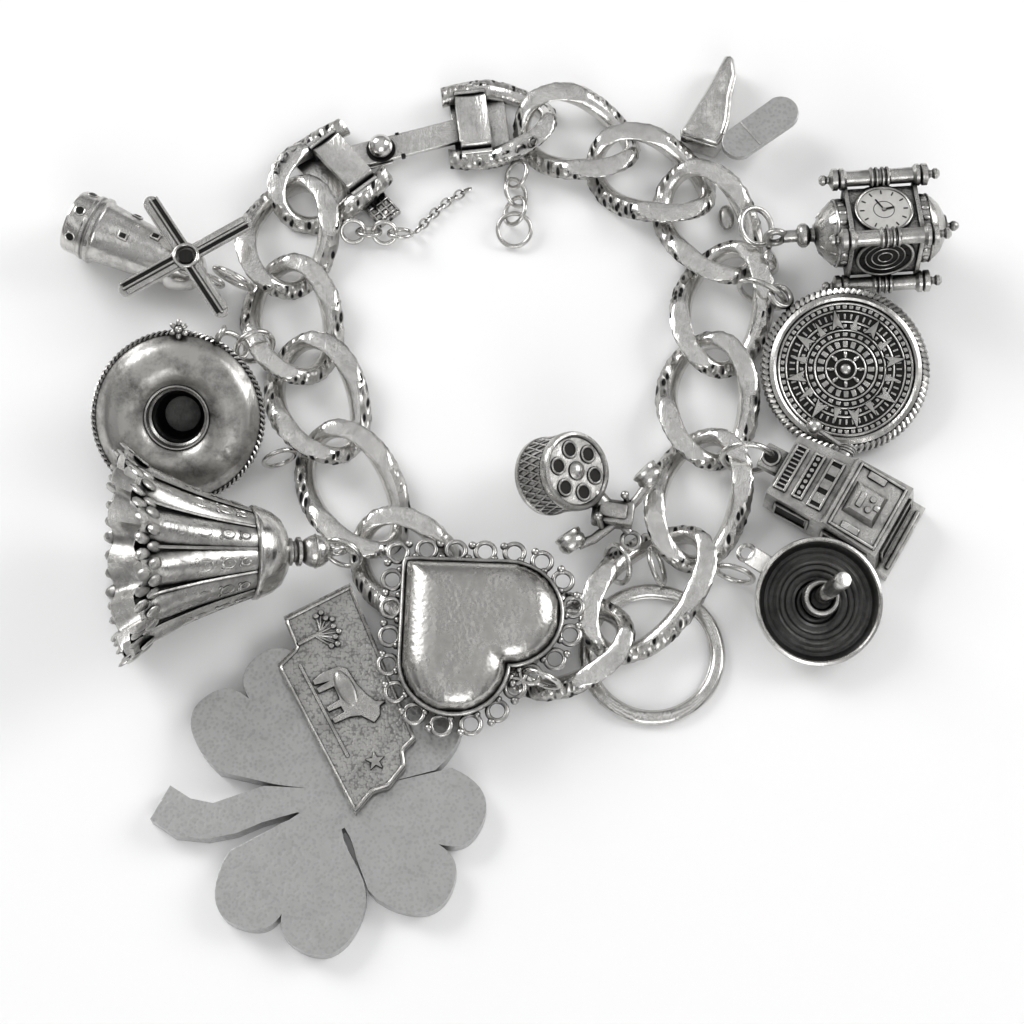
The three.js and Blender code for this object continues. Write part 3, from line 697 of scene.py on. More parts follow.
@dataclass
class Bench:
    """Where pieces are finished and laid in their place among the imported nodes."""

    origin: Vector
    made: int = 0

    def lay(
        self, name: str, work: Work, where: Matrix, finishes: list[Silver], node: str, body: str = "bracelet",
        crease: float = 38,
    ) -> bpy.types.Object:
        """Lays a finished piece in its place and hides the node that it stands for.

        Args:
            name: The piece's name.
            work: The piece, which is used up.
            where: Its place on the table.
            finishes: Its finishes.
            node: The node that it stands for.
            body: The body that it rides on.
            crease: The sharpest turn, in degrees, that is still shaded smooth.

        Returns:
            The piece.
        """
        carry = Matrix.Translation(self.origin) @ Matrix.Scale(MM, 4) @ where
        bmesh.ops.transform(work.mesh, matrix=carry, verts=work.mesh.verts)
        mesh = bpy.data.meshes.new(name)
        work.mesh.to_mesh(mesh)
        work.mesh.free()
        mesh.polygons.foreach_set("use_smooth", [len(face.vertices) <= 4 for face in mesh.polygons])
        mesh.set_sharp_from_angle(angle=math.radians(crease))
        for finish in finishes:
            mesh.materials.append(finish.material())
        piece = bpy.data.objects.new(name, mesh)
        bpy.context.scene.collection.objects.link(piece)
        evened = piece.modifiers.new("even_normals", "WEIGHTED_NORMAL")
        evened.keep_sharp = True
        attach(piece, body)
        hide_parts(node)
        self.made += 1
        log.info("%s: %d faces", name, len(mesh.polygons))
        return piece


# ---- chain and clasp ----


def gouge(point: Vector, size: float) -> float:
    """A steady roughness between -1 and 1 at a point, for bark that is cut by hand."""
    return noise.noise(Vector((point.x / size, point.y / size, point.z / size)))


@dataclass
class CurbLink:
    """A twisted curb link with its high quarters cut bright and flat and its outer side gouged like bark."""

    name: str
    where: Matrix
    length: float
    width: float = 13
    end_bar: float = 2.1
    side_bar: float = 2.6
    bar_height: float = 2.4
    twist: float = 1.8
    thickness: float = 3.9
    fuller: float = 1.09  # how much wider the bar is than its grinding leaves it
    gouge_depth: float = 0.2
    square_front: bool = False
    steps: int = 132
    sides: int = 20

    def centre(self, turn: float) -> Vector:
        """The middle of the bar at a turn round the link.

        Args:
            turn: In radians.

        Returns:
            The middle of the bar.
        """
        half_long = (self.length - self.end_bar) / 2
        half_wide = (self.width - self.side_bar) / 2
        front = self.square_front and math.cos(turn) > 0
        across = math.copysign(abs(math.sin(turn)) ** 0.3, math.sin(turn)) if front else math.sin(turn)
        rise = 0 if front else -self.twist * math.sin(2 * turn)
        return Vector((half_long * math.cos(turn), half_wide * across, rise))

    def ring(self) -> bmesh.types.BMesh:
        """The bar bent round the link, ground flat above and below.

        Returns:
            The closed bar.
        """
        shape = hoop(2, 2, self.steps, self.sides)
        small = 0.01
        flat = self.thickness / 2
        for corner in shape.verts:
            turn = math.atan2(corner.co.y, corner.co.x)
            outward = math.hypot(corner.co.x, corner.co.y) - 2
            upward = corner.co.z
            along = (self.centre(turn + small) - self.centre(turn - small)).normalized()
            side = Vector((along.y, -along.x, 0)).normalized()
            above = side.cross(along)
            bar = self.end_bar + (self.side_bar - self.end_bar) * math.sin(turn) ** 2
            point = self.centre(turn) + side * (outward * bar / 2 * self.fuller)
            point += above * (upward * self.bar_height / 2)
            seed = point + Vector((self.length * 7, len(self.name), 0))
            point += side * (self.gouge_depth * max(0.0, outward) * gouge(seed, 0.7))
            edge = flat - 0.34 - 0.12 * gouge(seed, 1.1)
            if abs(point.z) > edge:
                point.z = math.copysign(edge + 0.22 * (abs(point.z) - edge), point.z)
            corner.co = point
        return shape

    def faced(self) -> bmesh.types.BMesh:
        """The ring, with its flat cuts in the second finish.

        Returns:
            The ring.
        """
        shape = self.ring()
        shape.normal_update()
        high = self.thickness / 2 - 0.62
        for face in shape.faces:
            middle = face.calc_center_median()
            inner = self.inside(middle)
            cut = abs(face.normal.z) > 0.75 and abs(middle.z) > high
            face.material_index = 1 if cut or inner else 0
        return shape

    def inside(self, point: Vector) -> bool:
        """Whether a point is on the inner side of the bar.

        Args:
            point: The point.

        Returns:
            Whether it is.
        """
        half_long = (self.length - self.end_bar) / 2
        half_wide = (self.width - self.side_bar) / 2
        return (point.x / half_long) ** 2 + (point.y / half_wide) ** 2 < 0.98

    def build(self, bench: Bench) -> None:
        """Makes the link."""
        work = Work(self.faced())
        bench.lay(f"{self.name}_bark", work, self.where, [LINK_BARK, LINK_FLAT], self.name, crease=50)


@dataclass
class ClaspEnd:
    """An end link of the clasp: open at the front, with a box floor, a domed band and, on one, the tongue."""

    name: str
    x: float
    y: float
    heading: float
    tongue: bool
    length: float = 17.6
    width: float = 12.8
    open_at: float = 5.9
    band_length: float = 3.9
    band_span: float = 7.6
    sheet: float = 0.8
    lay_height: float = 1.95

    def arms(self) -> bmesh.types.BMesh:
        """The link's two arms, cut off square, with scrolled wire along their outer sides.

        Returns:
            The arms.
        """
        link = CurbLink(self.name, STILL, self.length, self.width, square_front=True)
        work = Work(link.faced())
        shape = work.mesh
        bmesh.ops.bisect_plane(
            shape, geom=[*shape.verts, *shape.edges, *shape.faces], plane_co=(self.open_at, 0, 0),
            plane_no=(1, 0, 0), clear_outer=True,
        )
        bmesh.ops.holes_fill(shape, edges=[e for e in shape.edges if e.is_boundary], sides=0)
        for side in (1, -1):
            for i in range(6):
                turn = math.radians(side * (62 + 13 * i))
                point = link.centre(turn)
                curl = hoop(0.62, 0.34, 16, 6)
                lean = turned("Z", math.degrees(turn)) @ turned("Y", 62)
                work.add(curl, moved(point.x * 1.09, point.y * 1.12, point.z + 0.55) @ lean)
        return work.mesh

    def band(self) -> bmesh.types.BMesh:
        """The smooth band that is bent down over the box, hollow along its middle like a saddle.

        Returns:
            The band.
        """
        route = [(-self.band_span / 2, -0.9), (-self.band_span / 2, 1.2), (-self.band_span / 2 + 0.6, 1.8)]
        route += [(self.band_span / 2 - 0.6, 1.8), (self.band_span / 2, 1.2), (self.band_span / 2, -0.9)]
        shape = bmesh.new()
        edges_along = 8
        rows = []
        for i in range(edges_along + 1):
            x = (i / edges_along - 0.5) * self.band_length
            lift = 0.28 * (2 * x / self.band_length) ** 2
            rows.append([shape.verts.new((x, y, z + (lift if z > 0 else 0))) for y, z in route])
        for one, other in zip(rows, rows[1:]):
            for a, b, c, d in zip(one, one[1:], other[1:], other):
                shape.faces.new((a, b, c, d))
        bmesh.ops.recalc_face_normals(shape, faces=shape.faces)
        bmesh.ops.solidify(shape, geom=list(shape.faces), thickness=self.sheet * 0.8)
        bmesh.ops.recalc_face_normals(shape, faces=shape.faces)
        return shape

    def build(self, bench: Bench) -> None:
        """Makes the end link, its box and its tongue or tab.

        Args:
            bench: Where it is made.
        """
        work = Work(self.arms())
        plain, dark = 1, 2
        work.add(block(7.2, self.width - 3.2, self.sheet, 0.12), moved(1.3, 0, -1.25), plain)
        work.add(self.band(), moved(2.2, 0, 0), plain)
        for side in (1, -1):
            work.add(rod((0.2, side * 4.4, 1.0), (4.2, side * 4.4, 1.0), 0.35), STILL, plain)
        if self.tongue:
            bend = turned("Z", 9)
            work.add(block(17.6, 3.4, self.sheet, 0.2), bend @ moved(10.2, 0, 0.2), plain)
            work.add(block(5.2, 4.0, 0.5, 0.15), bend @ moved(16.2, 0, -0.25), plain)
            work.add(block(2.6, 3.4, 1.6, 0.2), bend @ moved(1.6, 0, -0.6), plain)
            # The dark notches at the tongue's sides are painted shade, and the dark disc round the ball's
            # foot is a painted shadow.
            for side in (1, -1):
                work.add(block(0.5, 0.4, 0.9, 0.05), bend @ moved(12.2, side * 1.6, 0.2), dark)
            work.add(disc(1.9, 0.12, 0.58), bend @ moved(14.8, 0, 0), dark)
            work.add(ball(1.55, 28), bend @ moved(14.8, 0, 1.5), plain)
        else:
            work.add(block(3.4, 4.6, 0.9, 0.12), moved(2.4, -7.2, -1.2))
            for i in range(4):
                work.add(rod((0.9 + i, -9.2, -0.7), (0.9 + i, -5.4, -0.7), 0.16, sides=8))
                work.add(rod((0.8, -8.9 + i, -0.7), (4.0, -8.9 + i, -0.7), 0.16, sides=8))
        turn = place(self.x, self.y, self.lay_height, self.heading + (180 if self.tongue else 0))
        bench.lay(f"{self.name}_silver", work, turn, [LINK_BARK, LINK_FLAT, BLACK_AND_SHADE], self.name, crease=50)


@dataclass
class JumpRing:
    """A ring of polished round wire."""

    name: str
    where: Matrix
    radius: float
    wire: float

    def build(self, bench: Bench) -> None:
        """Makes the ring."""
        work = Work(hoop(self.radius, self.wire, 56, 14))
        bench.lay(f"{self.name}_wire", work, self.where, [POLISHED], self.name)


@dataclass
class FineChain:
    """The fine safety chain: small round links hooked in one another along its route."""

    route: tuple[Triple, ...] = ((-12.4, 38.4, 0.9), (-10.6, 40.6, 0.7), (-8.4, 42.8, 0.7), (-5.4, 44.8, 0.7))
    pitch: float = 0.98
    link_radius: float = 0.62
    wire: float = 0.3

    def points(self) -> list[Vector]:
        """Places a pitch apart along the smooth route.

        Returns:
            The places, in order.
        """
        corners = [Vector(p) for p in (self.route[0], *self.route, self.route[-1])]
        fine = []
        for a, b, c, d in zip(corners, corners[1:], corners[2:], corners[3:]):
            fine += [Vector([catmull(*q, i / 30) for q in zip(a, b, c, d)]) for i in range(30)]
        kept = [fine[0]]
        for point in fine:
            if (point - kept[-1]).length >= self.pitch:
                kept.append(point)
        return kept

    def build(self, bench: Bench) -> None:
        """Makes the chain's links.

        Args:
            bench: Where it is made.
        """
        work = Work()
        kept = self.points()
        for i, (point, after) in enumerate(zip(kept, kept[1:])):
            heading = math.degrees(math.atan2(after.y - point.y, after.x - point.x))
            tilt = 35 if i % 2 else -50
            lean = turned("Z", heading) @ turned("X", tilt) @ stretched(1.15, 0.9, 1)
            work.add(hoop(self.link_radius, self.wire, 18, 7), Matrix.Translation((point + after) / 2) @ lean)
        bench.lay("safety_chain_links", work, STILL, [POLISHED], "safety_chain")


# ---- charms ----


@dataclass
class Windmill:
    """A windmill lying on its side, its sails on a pin near its cap."""

    where: Matrix = field(default_factory=lambda: place(-56.2, 38.2, 4.65, -24, 3.5))
    hub_along: float = 16.2
    sail_turns: tuple[int, ...] = (57, 147, 237, 327)
    sail_length: float = 9.6
    sail_width: float = 2.1

    def tower(self) -> Work:
        """The ringed tower with its windows, its cap and its loop.

        Returns:
            The tower.
        """
        outline = [
            (0, 0.3), (3.3, 0.3), (3.4, 0), (3.9, 0), (4.1, 0.35), (4.1, 2.2), (4.3, 2.4), (4.3, 2.75),
            (4.12, 2.95), (4.12, 3.2), (4.4, 3.35), (4.4, 3.8), (4.15, 4.0), (3.95, 4.3), (3.7, 7),
            (3.0, 14), (3.3, 14.4), (3.3, 14.9), (3.1, 15.6), (2.7, 16.7), (2.2, 17.6), (1.3, 18.3),
            (0.7, 18.6), (0.7, 19.3), (0, 19.3),
        ]
        work = Work().add(lathe(outline, 64), ALONG_X)
        for along, around, reach in ((1.3, 0, 4.05), (1.3, -52, 4.05), (1.3, 52, 4.05), (1.3, -104, 4.05)):
            spot = turned("X", around) @ moved(along, 0, reach)
            work.add(hoop(0.62, 0.28, 24, 8), spot)
            # A dark disc fills each round window: painted shade in its opening.
            work.add(disc(0.6, 0.12, -0.04), spot, 1)
        for along, around in ((7.6, 10), (7.6, -60), (11.2, -22)):
            spot = turned("X", around) @ moved(along, 0, 3.7 - 0.1 * (along - 7))
            work.add(block(1.3, 1.1, 0.35, 0.1), spot)
            # A dark block inside each window: painted shade.
            work.add(block(0.8, 0.6, 0.2, 0.02), spot @ moved(0, 0, 0.15), 1)
        work.add(disc(1.7, 1.9, 1.5), moved(self.hub_along, 0, 0))
        # The pin through the sails' hub is dark: painted shade in the hub's hole.
        work.add(disc(0.9, 3.35, 1), moved(self.hub_along, 0, 0), 1)
        work.add(hoop(1.05, 0.6, 32, 10), moved(20.1, 0, 0) @ turned("X", 90))
        return work

    def sails(self) -> Work:
        """The wheel: four sails, each a flat strip beside a channel, round a bright eyelet.

        Returns:
            The wheel, about its hub.
        """
        work = Work()
        for turn in self.sail_turns:
            round_z = turned("Z", turn)
            reach = self.sail_length
            strip = slab(round_ended(1.2, reach, self.sail_width), 0.36, 0.08)
            work.add(strip, round_z @ moved(0, 0, 0.22))
            for across in (-0.92, -0.12):
                work.add(rod((1.3, across, 0.68), (reach - 0.7, across, 0.68), 0.18, sides=10), round_z)
                work.add(ball(0.18, 10), round_z @ moved(reach - 0.7, across, 0.68))
            # A dark strip in each channel: painted shade between the wires.
            work.add(block(reach - 2.2, 0.42, 0.1, 0), round_z @ moved(reach / 2 + 0.3, -0.52, 0.6), 1)
            work.add(block(reach - 2.4, 0.62, 0.16, 0.05), round_z @ moved(reach / 2 + 0.4, 0.52, 0.62))
        work.add(hoop(1.5, 0.5, 40, 12), moved(0, 0, 0.72))
        work.add(hoop(1.5, 0.5, 40, 12), moved(0, 0, 0.3))
        return work

    def build(self, bench: Bench) -> None:
        """Makes the tower and the sails.

        Args:
            bench: Where it is made.
        """
        bench.lay("windmill_cone", self.tower(), self.where, [POLISHED, BLACK_AND_SHADE], "windmill_tower")
        hub = self.where @ moved(self.hub_along, 0, 3.75)
        bench.lay("windmill_wheel", self.sails(), hub, [POLISHED, BLACK_AND_SHADE], "windmill_sails", "sails")


def round_ended(start: float, length: float, width: float, points: int = 9) -> Outline:
    """The outline of a strip along +X with a round far end.

    Args:
        start: Where it begins.
        length: Where it ends.
        width: Its width.
        points: How many points the end gets.

    Returns:
        The outline.
    """
    half = width / 2
    curve = [math.radians(-90 + 180 * i / (points - 1)) for i in range(points)]
    end = [(length - half + half * math.cos(a), half * math.sin(a)) for a in curve]
    return [(start, -half), *end, (start, half)]


@dataclass
class Sombrero:
    """A hat lying upside down: its brim rolls up like a tyre round the hollow crown."""

    where: Matrix = field(default_factory=lambda: place(-41.4, 10.2, 6.45, roll=27))
    edge: float = 10.4
    loop_at: float = 62
    rosette_at: float = 88

    def build(self, bench: Bench) -> None:
        """Makes the hat with its rope edge, its loop and its rosette.

        Args:
            bench: Where it is made.
        """
        edge = self.edge
        bulge = [
            (edge - 0.2, -0.4), (edge - 0.1, 0.2), (edge - 0.7, 0.9), (8.8, 1.75), (7.2, 2.35), (6.0, 2.4),
            (4.9, 2.05), (4.2, 1.6),
        ]
        below = [(0, -5.7), (3.2, -5.6), (4.2, -4.8), (4.7, -1.2), (8.0, -0.9), (edge - 0.5, -0.9)]
        inside = [
            (3.95, 1.5), (3.75, 1.35), (3.7, 0.9), (3.6, 0.2), (3.3, 0.0), (3.3, -1.5), (3.0, -1.8),
            (3.0, -3.6), (2.2, -4.7), (0, -4.9),
        ]
        crown = lathe(below + softened(bulge, 3) + inside, 72)
        # The crown's inside is antique silver, and near-black deep down: painted shade in the hollow.
        for face in crown.faces:
            middle = face.calc_center_median()
            if math.hypot(middle.x, middle.y) < 3.6 and middle.z > -4.95:
                face.material_index = 2 if middle.z < 0.1 else 1
        work = Work().add(crown)
        work.add(hoop(3.9, 0.32, 56, 8), moved(0, 0, 1.55), 1)
        work.add(rope(edge, 0.95, 46), STILL, 1)
        round_z = turned("Z", self.loop_at)
        work.add(hoop(1.0, 0.6, 32, 10), round_z @ moved(edge + 1.2, 0, 0.2) @ turned("X", 90), 1)
        rosette = turned("Z", self.rosette_at) @ moved(edge + 0.5, 0, 0.9)
        work.add(ball(0.5, 12), rosette @ moved(0, 0, 0.35), 1)
        for i in range(6):
            petal = turned("Z", 60 * i) @ moved(0.75, 0, 0.1) @ stretched(0.55, 0.36, 0.3)
            work.add(ball(1, 10), rosette @ petal, 1)
        bench.lay("sombrero_hat", work, self.where, [PATINATED, ANTIQUE, BLACKENED_AND_SHADE], "sombrero")


@dataclass
class BellShade:
    """A fluted shade like a bell, with a ruffled mouth, patterned panels, a cap and a ball."""

    where: Matrix = field(default_factory=lambda: place(-46.1, -10.2, 13.0, 6.8, 15.5))
    flutes: int = 12
    cap_along: float = 15.4
    ball_along: float = 23.2
    wall: float = 0.6
    profile: tuple[tuple[float, float], ...] = (
        (12.2, 0), (10.6, 2.2), (9.6, 4.4), (8.3, 7.2), (6.9, 10.8), (5.4, 15.2),
    )

    def radius_at(self, along: float) -> float:
        """The shade's outer radius at a distance from its mouth.

        Args:
            along: The distance.

        Returns:
            The radius.
        """
        for (far, low), (near, high) in zip(self.profile, self.profile[1:]):
            if along <= high:
                return far + (near - far) * (along - low) / (high - low)
        return self.profile[-1][0]

    def ruffled(self, point: Vector) -> Triple:
        """A corner of the shell moved out or in by the flutes.

        Args:
            point: The corner.

        Returns:
            Where it goes.
        """
        share = max(0.0, 1 - point.z / self.cap_along)
        turn = math.atan2(point.y, point.x)
        deep = 0.02 + 0.055 * share**1.6
        wave = 1 + deep * (abs(math.cos(self.flutes * turn / 2)) * 2 - 1.25)
        return (point.x * wave, point.y * wave, point.z + 0.5 * share**3 * math.cos(self.flutes * turn))

    def shell(self) -> bmesh.types.BMesh:
        """The thin fluted shell, open at its mouth.

        Returns:
            The shell.
        """
        outer = softened(list(self.profile), 4)
        inner = [(radius - self.wall, along) for radius, along in outer]
        section = [(0, self.cap_along), *reversed(outer), *inner, (0, self.cap_along - 0.8)]
        return warped(lathe(section, self.flutes * 12), self.ruffled)

    def panel(self, work: Work, turn: float) -> None:
        """The raised pattern of one panel: a rosette, a scroll and a flower between two ribs.

        Args:
            work: The piece that it joins.
            turn: Where the panel is round the shade, in degrees.
        """
        round_z = turned("Z", turn)
        lean = turned("Y", -22)

        def on_shell(along: float) -> Matrix:
            """The place on this panel at a distance from the mouth."""
            return round_z @ moved(self.radius_at(along) * 1.005, 0, along) @ lean @ turned("Y", 90)

        for along, size in ((5.0, 1.0), (8.3, 0.85), (11.4, 0.7), (13.6, 0.5)):
            spot = on_shell(along)
            work.add(hoop(size, 0.3, 18, 6), spot @ stretched(1.25, 0.85, 1), 1)
            work.add(ball(0.34 * size, 8), spot @ stretched(1.6, 1, 0.7), 1)
            for side in (1, -1):
                curl = moved(1.4 * size, side * 0.75 * size, 0)
                work.add(hoop(0.3 * size, 0.2, 10, 5), spot @ curl, 1)
        edge = turned("Z", turn + 180 / self.flutes)
        rib = [(self.radius_at(a) * 0.985, 0, a) for a in (1.5, 3.5, 5.5, 8, 10.8, 13, 15)]
        work.add(tube(rib, 0.42, 6), edge, 1)

    def petals(self, work: Work) -> None:
        """Two rows of curled petals round the mouth.

        Args:
            work: The piece that it joins.
        """
        count = self.flutes * 3
        for row, (along, reach, size) in enumerate(((0.4, 12.15, 1.35), (1.9, 11.2, 1.2))):
            for i in range(count):
                turn = 360 * (i + 0.5 * row) / count
                wave = 1 + 0.05 * math.cos(math.radians(turn) * self.flutes)
                spot = turned("Z", turn) @ moved(reach * wave, 0, along) @ turned("Y", -38)
                work.add(ball(1, 10), spot @ stretched(0.26, 0.62 * size, 0.95 * size), 1)

    def build(self, bench: Bench) -> None:
        """Makes the shade, its cap, its neck and its ball.

        Args:
            bench: Where it is made.
        """
        work = Work(self.shell())
        for i in range(self.flutes):
            self.panel(work, 360 * i / self.flutes)
        self.petals(work)
        cap = [
            (0, 15.2), (5.5, 15.2), (5.75, 15.4), (5.75, 15.8), (5.55, 16.1), (5.4, 16.6), (4.9, 17.7),
            (4.1, 18.7), (2.9, 19.4), (1.7, 19.8), (1.7, 20.2), (1.3, 20.4), (1.3, 20.7), (1.8, 20.9),
            (1.8, 21.3), (1.1, 21.6), (1.1, 22), (0, 22),
        ]
        smooth = 2
        work.add(lathe(cap, 64), STILL, smooth)
        work.add(ball(2.0, 32), moved(0, 0, self.ball_along), smooth)
        work.add(hoop(2.02, 0.24, 40, 8), moved(0, 0, self.ball_along), smooth)
        work.add(hoop(1.1, 0.6, 32, 10), moved(0, 0, self.ball_along + 2.7) @ turned("X", 90), smooth)
        bench.lay("bell_shade_silver", work, self.where @ ALONG_X, [ANTIQUE, ANTIQUE, POLISHED], "bell_shade")


@dataclass
class Heart:
    """A puffed heart with a wire rim and a border of small rings."""

    where: Matrix = field(default_factory=lambda: place(-12.7, -8.7, 5.3, -2))
    side: float = 12.4
    puff: float = 2.75
    shoulder: float = 4.6
    rings: int = 22

    def outline(self, points: int, out: float = 0) -> list[Vector]:
        """Places evenly spaced round the heart, moved outwards by some distance.

        Args:
            points: How many places.
            out: How far outside the heart's edge they are.

        Returns:
            The places, from the heart's point round its lobes and back.
        """
        side, half = self.side, self.side / 2
        corners = [Vector((0, -side * i / 40)) for i in range(40)]
        corners += [Vector((half - half * math.cos(a), -side - half * math.sin(a))) for a in arc(0, 180, 60)]
        corners += [Vector((side + half * math.sin(a), -half - half * math.cos(a))) for a in arc(0, 180, 60)]
        corners += [Vector((side - side * i / 40, 0)) for i in range(40)]
        grown = []
        for before, here, after in zip([corners[-1], *corners], corners, [*corners[1:], corners[0]]):
            along = (after - before).normalized()
            normal = Vector((along.y, -along.x))
            grown.append(here - normal * out if self.holds(here + normal * 0.05) else here + normal * out)
        return evenly(grown, points)

    def holds(self, point: Vector) -> bool:
        """Whether a point is inside the heart.

        Args:
            point: The point.

        Returns:
            Whether it is.
        """
        half = self.side / 2
        square = 0 < point.x < self.side and -self.side < point.y < 0
        low = (point - Vector((half, -self.side))).length < half
        right = (point - Vector((self.side, -half))).length < half
        return square or low or right

    def dome(self) -> bmesh.types.BMesh:
        """The puffed front, high in the middle and with a valley up to the cleft.

        Returns:
            The front.
        """
        edge = self.outline(150, 0.2)
        shape = slab([(p.x, p.y) for p in edge], 0.9, 0)
        shape.normal_update()
        middle = moved(9.2, -9.2, 0.9)
        flat = bmesh.ops.create_grid(shape, x_segments=64, y_segments=64, size=10.4, matrix=middle)["verts"]
        gone = []
        for corner in flat:
            here = corner.co.xy
            near = min((here - p).length for p in edge)
            inside = self.holds(here)
            if not inside and near > 0.5:
                gone.append(corner)
                continue
            share = min(near / self.shoulder, 1) if inside else 0
            corner.co.z = 0.85 + self.puff * math.sqrt(max(0, 1 - (1 - share) ** 2))
        bmesh.ops.delete(shape, geom=gone, context="VERTS")
        fresh = [v for v in shape.verts if v.co.z > 1.0]
        for _ in range(3):
            bmesh.ops.smooth_vert(
                shape, verts=fresh, factor=0.5, use_axis_x=False, use_axis_y=False, use_axis_z=True
            )
        return shape

    def build(self, bench: Bench) -> None:
        """Makes the dome, its rim and its lace.

        Args:
            bench: Where it is made.
        """
        work = Work(self.dome())
        rim = [(p.x, p.y, 1.05) for p in self.outline(130, 0.35)]
        work.add(tube(rim, 0.7, 8, closed=True), STILL, 1)
        for spot in self.outline(self.rings, 1.75):
            work.add(hoop(1.18, 0.62, 28, 8), moved(spot.x, spot.y, 0.5), 1)
        for spot in self.outline(self.rings * 2, 2.5)[1::2]:
            work.add(ball(0.52, 12), moved(spot.x, spot.y, 0.55), 1)
        for spot in self.outline(self.rings * 2, 0.85)[1::2]:
            work.add(ball(0.5, 10), moved(spot.x, spot.y, 0.5), 1)
        bench.lay("heart_puffed", work, self.where, [DOME, ANTIQUE], "heart", crease=60)


def arc(start: float, end: float, steps: int) -> list[float]:
    """Angles in radians from start up to, and without, end, both in degrees."""
    return [math.radians(start + (end - start) * i / steps) for i in range(steps)]


def evenly(corners: list[Vector], count: int) -> list[Vector]:
    """Places evenly spaced along a closed line through corners.

    Args:
        corners: The line.
        count: How many places.

    Returns:
        The places.
    """
    lengths = [(b - a).length for a, b in zip(corners, [*corners[1:], corners[0]])]
    step = sum(lengths) / count
    places, run, i = [], 0.0, 0
    for k in range(count):
        while run + lengths[i] < k * step:
            run += lengths[i]
            i += 1
        share = (k * step - run) / lengths[i] if lengths[i] else 0
        places.append(corners[i].lerp(corners[(i + 1) % len(corners)], share))
    return places


@dataclass
class Plaque:
    """A thin plaque cut to a map's outline, with a rim, a tree, an ox and a star in relief."""

    corners: tuple[tuple[float, float], ...] = (
        (-19.8, -10.6), (-27.8, -14.9), (-26.2, -18.7), (-28.4, -21.0), (-18.6, -39.4), (-16.5, -36.8),
        (-14.6, -36.2), (-12.7, -33.7), (-13.0, -31.8), (-11.5, -30.2),
    )
    level: float = 2.9
    thickness: float = 0.9
    lean: float = -62  # of the relief, which stands along the plaque's long side

    def ox(self) -> Outline:
        """The side view of a standing ox."""
        return [
            (-3.1, 0.2), (-2.9, 1.9), (-2.3, 2.5), (-0.6, 2.6), (0.9, 3.0), (1.9, 3.5), (2.3, 4.3),
            (2.5, 3.6), (3.3, 3.2), (3.7, 2.4), (3.1, 2.0), (2.5, 1.6), (2.1, 0.6), (2.0, -1.0),
            (1.5, -1.0), (1.4, 0.3), (0.8, 0.3), (0.7, -1.0), (0.2, -1.0), (0.1, 0.5), (-1.3, 0.6),
            (-1.4, -1.0), (-1.9, -1.0), (-2.0, 0.3), (-2.3, -1.0), (-2.8, -1.0),
        ]

    def build(self, bench: Bench) -> None:
        """Makes the plaque and its relief.

        Args:
            bench: Where it is made.
        """
        work = Work().add(slab(list(self.corners), self.thickness, 0.05))
        across, along = zip(*self.corners)
        middle = Vector((sum(across), sum(along))) / len(self.corners)
        rim = [Vector(c).lerp(middle, 0.035) for c in self.corners]
        top = self.thickness
        work.add(tube([(p.x, p.y, top) for p in evenly(rim, 120)], 0.5, 6, closed=True), STILL, 1)
        upright = turned("Z", self.lean)
        ox = moved(-21.3, -25.6, top - 0.05) @ upright @ stretched(1.25, 1.25, 1)
        work.add(slab(self.ox(), 0.4, 0.12), ox, 1)
        work.add(ball(1, 16), ox @ moved(-0.6, 1.5, 0.3) @ stretched(2.1, 0.9, 0.4), 1)
        work.add(block(10.5, 0.3, 0.2, 0.05), ox @ moved(0.3, -1.35, 0.1), 1)
        tree = moved(-23.6, -17.2, top) @ upright
        work.add(rod((0, -2.6, 0), (0, 0.6, 0), 0.34, 0.26, 8), tree, 1)
        for i in range(9):
            turn = math.radians(15 + 150 * i / 8)
            reach = 2.2 + 0.5 * (i % 2)
            tip = (reach * math.cos(turn), 0.4 + reach * 0.8 * math.sin(turn), 0)
            work.add(rod((0, -0.4 + 0.1 * i, 0), tip, 0.2, 0.12, 7), tree, 1)
            work.add(ball(0.42, 9), tree @ moved(*tip), 1)
        spokes = [(0.5 if i % 2 else 1.25, FULL_TURN * i / 10) for i in range(10)]
        star = [(reach * math.sin(turn), reach * math.cos(turn)) for reach, turn in spokes]
        work.add(slab(star, 0.3, 0.1), moved(-16.3, -33.0, top - 0.05) @ upright, 1)
        bench.lay("plaque_map", work, moved(0, 0, self.level), [PEBBLE, ANTIQUE], "state_plaque")


@dataclass
class Leaf:
    """One heart-shaped leaf: its heading, size, and how far from the middle its cleft is."""

    heading: float
    length: float
    width: float
    cleft: float

    def curve(self, steps: int = 10) -> list[Vector]:
        """Half its outline, from the middle out to the cleft, on its right side.

        Args:
            steps: How many points each stretch gets.

        Returns:
            The points.
        """
        length, half = self.length, -self.width / 2
        knots = [
            ((0, -2), (0.36 * length, -2), (0.32 * length, half), (0.66 * length, half)),
            ((0.66 * length, half), (0.9 * length, half), (length, 0.8 * half), (length, 0.5 * half)),
            ((length, 0.5 * half), (length, 0.2 * half), (0.95 * length, 0.05 * half), (self.cleft, 0)),
        ]
        return [bezier(knot, i / steps) for knot in knots for i in range(1, steps + 1)]


def bezier(knot: Iterable[tuple[float, float]], t: float) -> Vector:
    """A point on a cubic curve.

    Args:
        knot: The ends and the two handles between them.
        t: How far along, 0 to 1.

    Returns:
        The point.
    """
    a, b, c, d = (Vector(p) for p in knot)
    back = 1 - t
    return a * back**3 + b * (3 * back * back * t) + c * (3 * back * t * t) + d * t**3


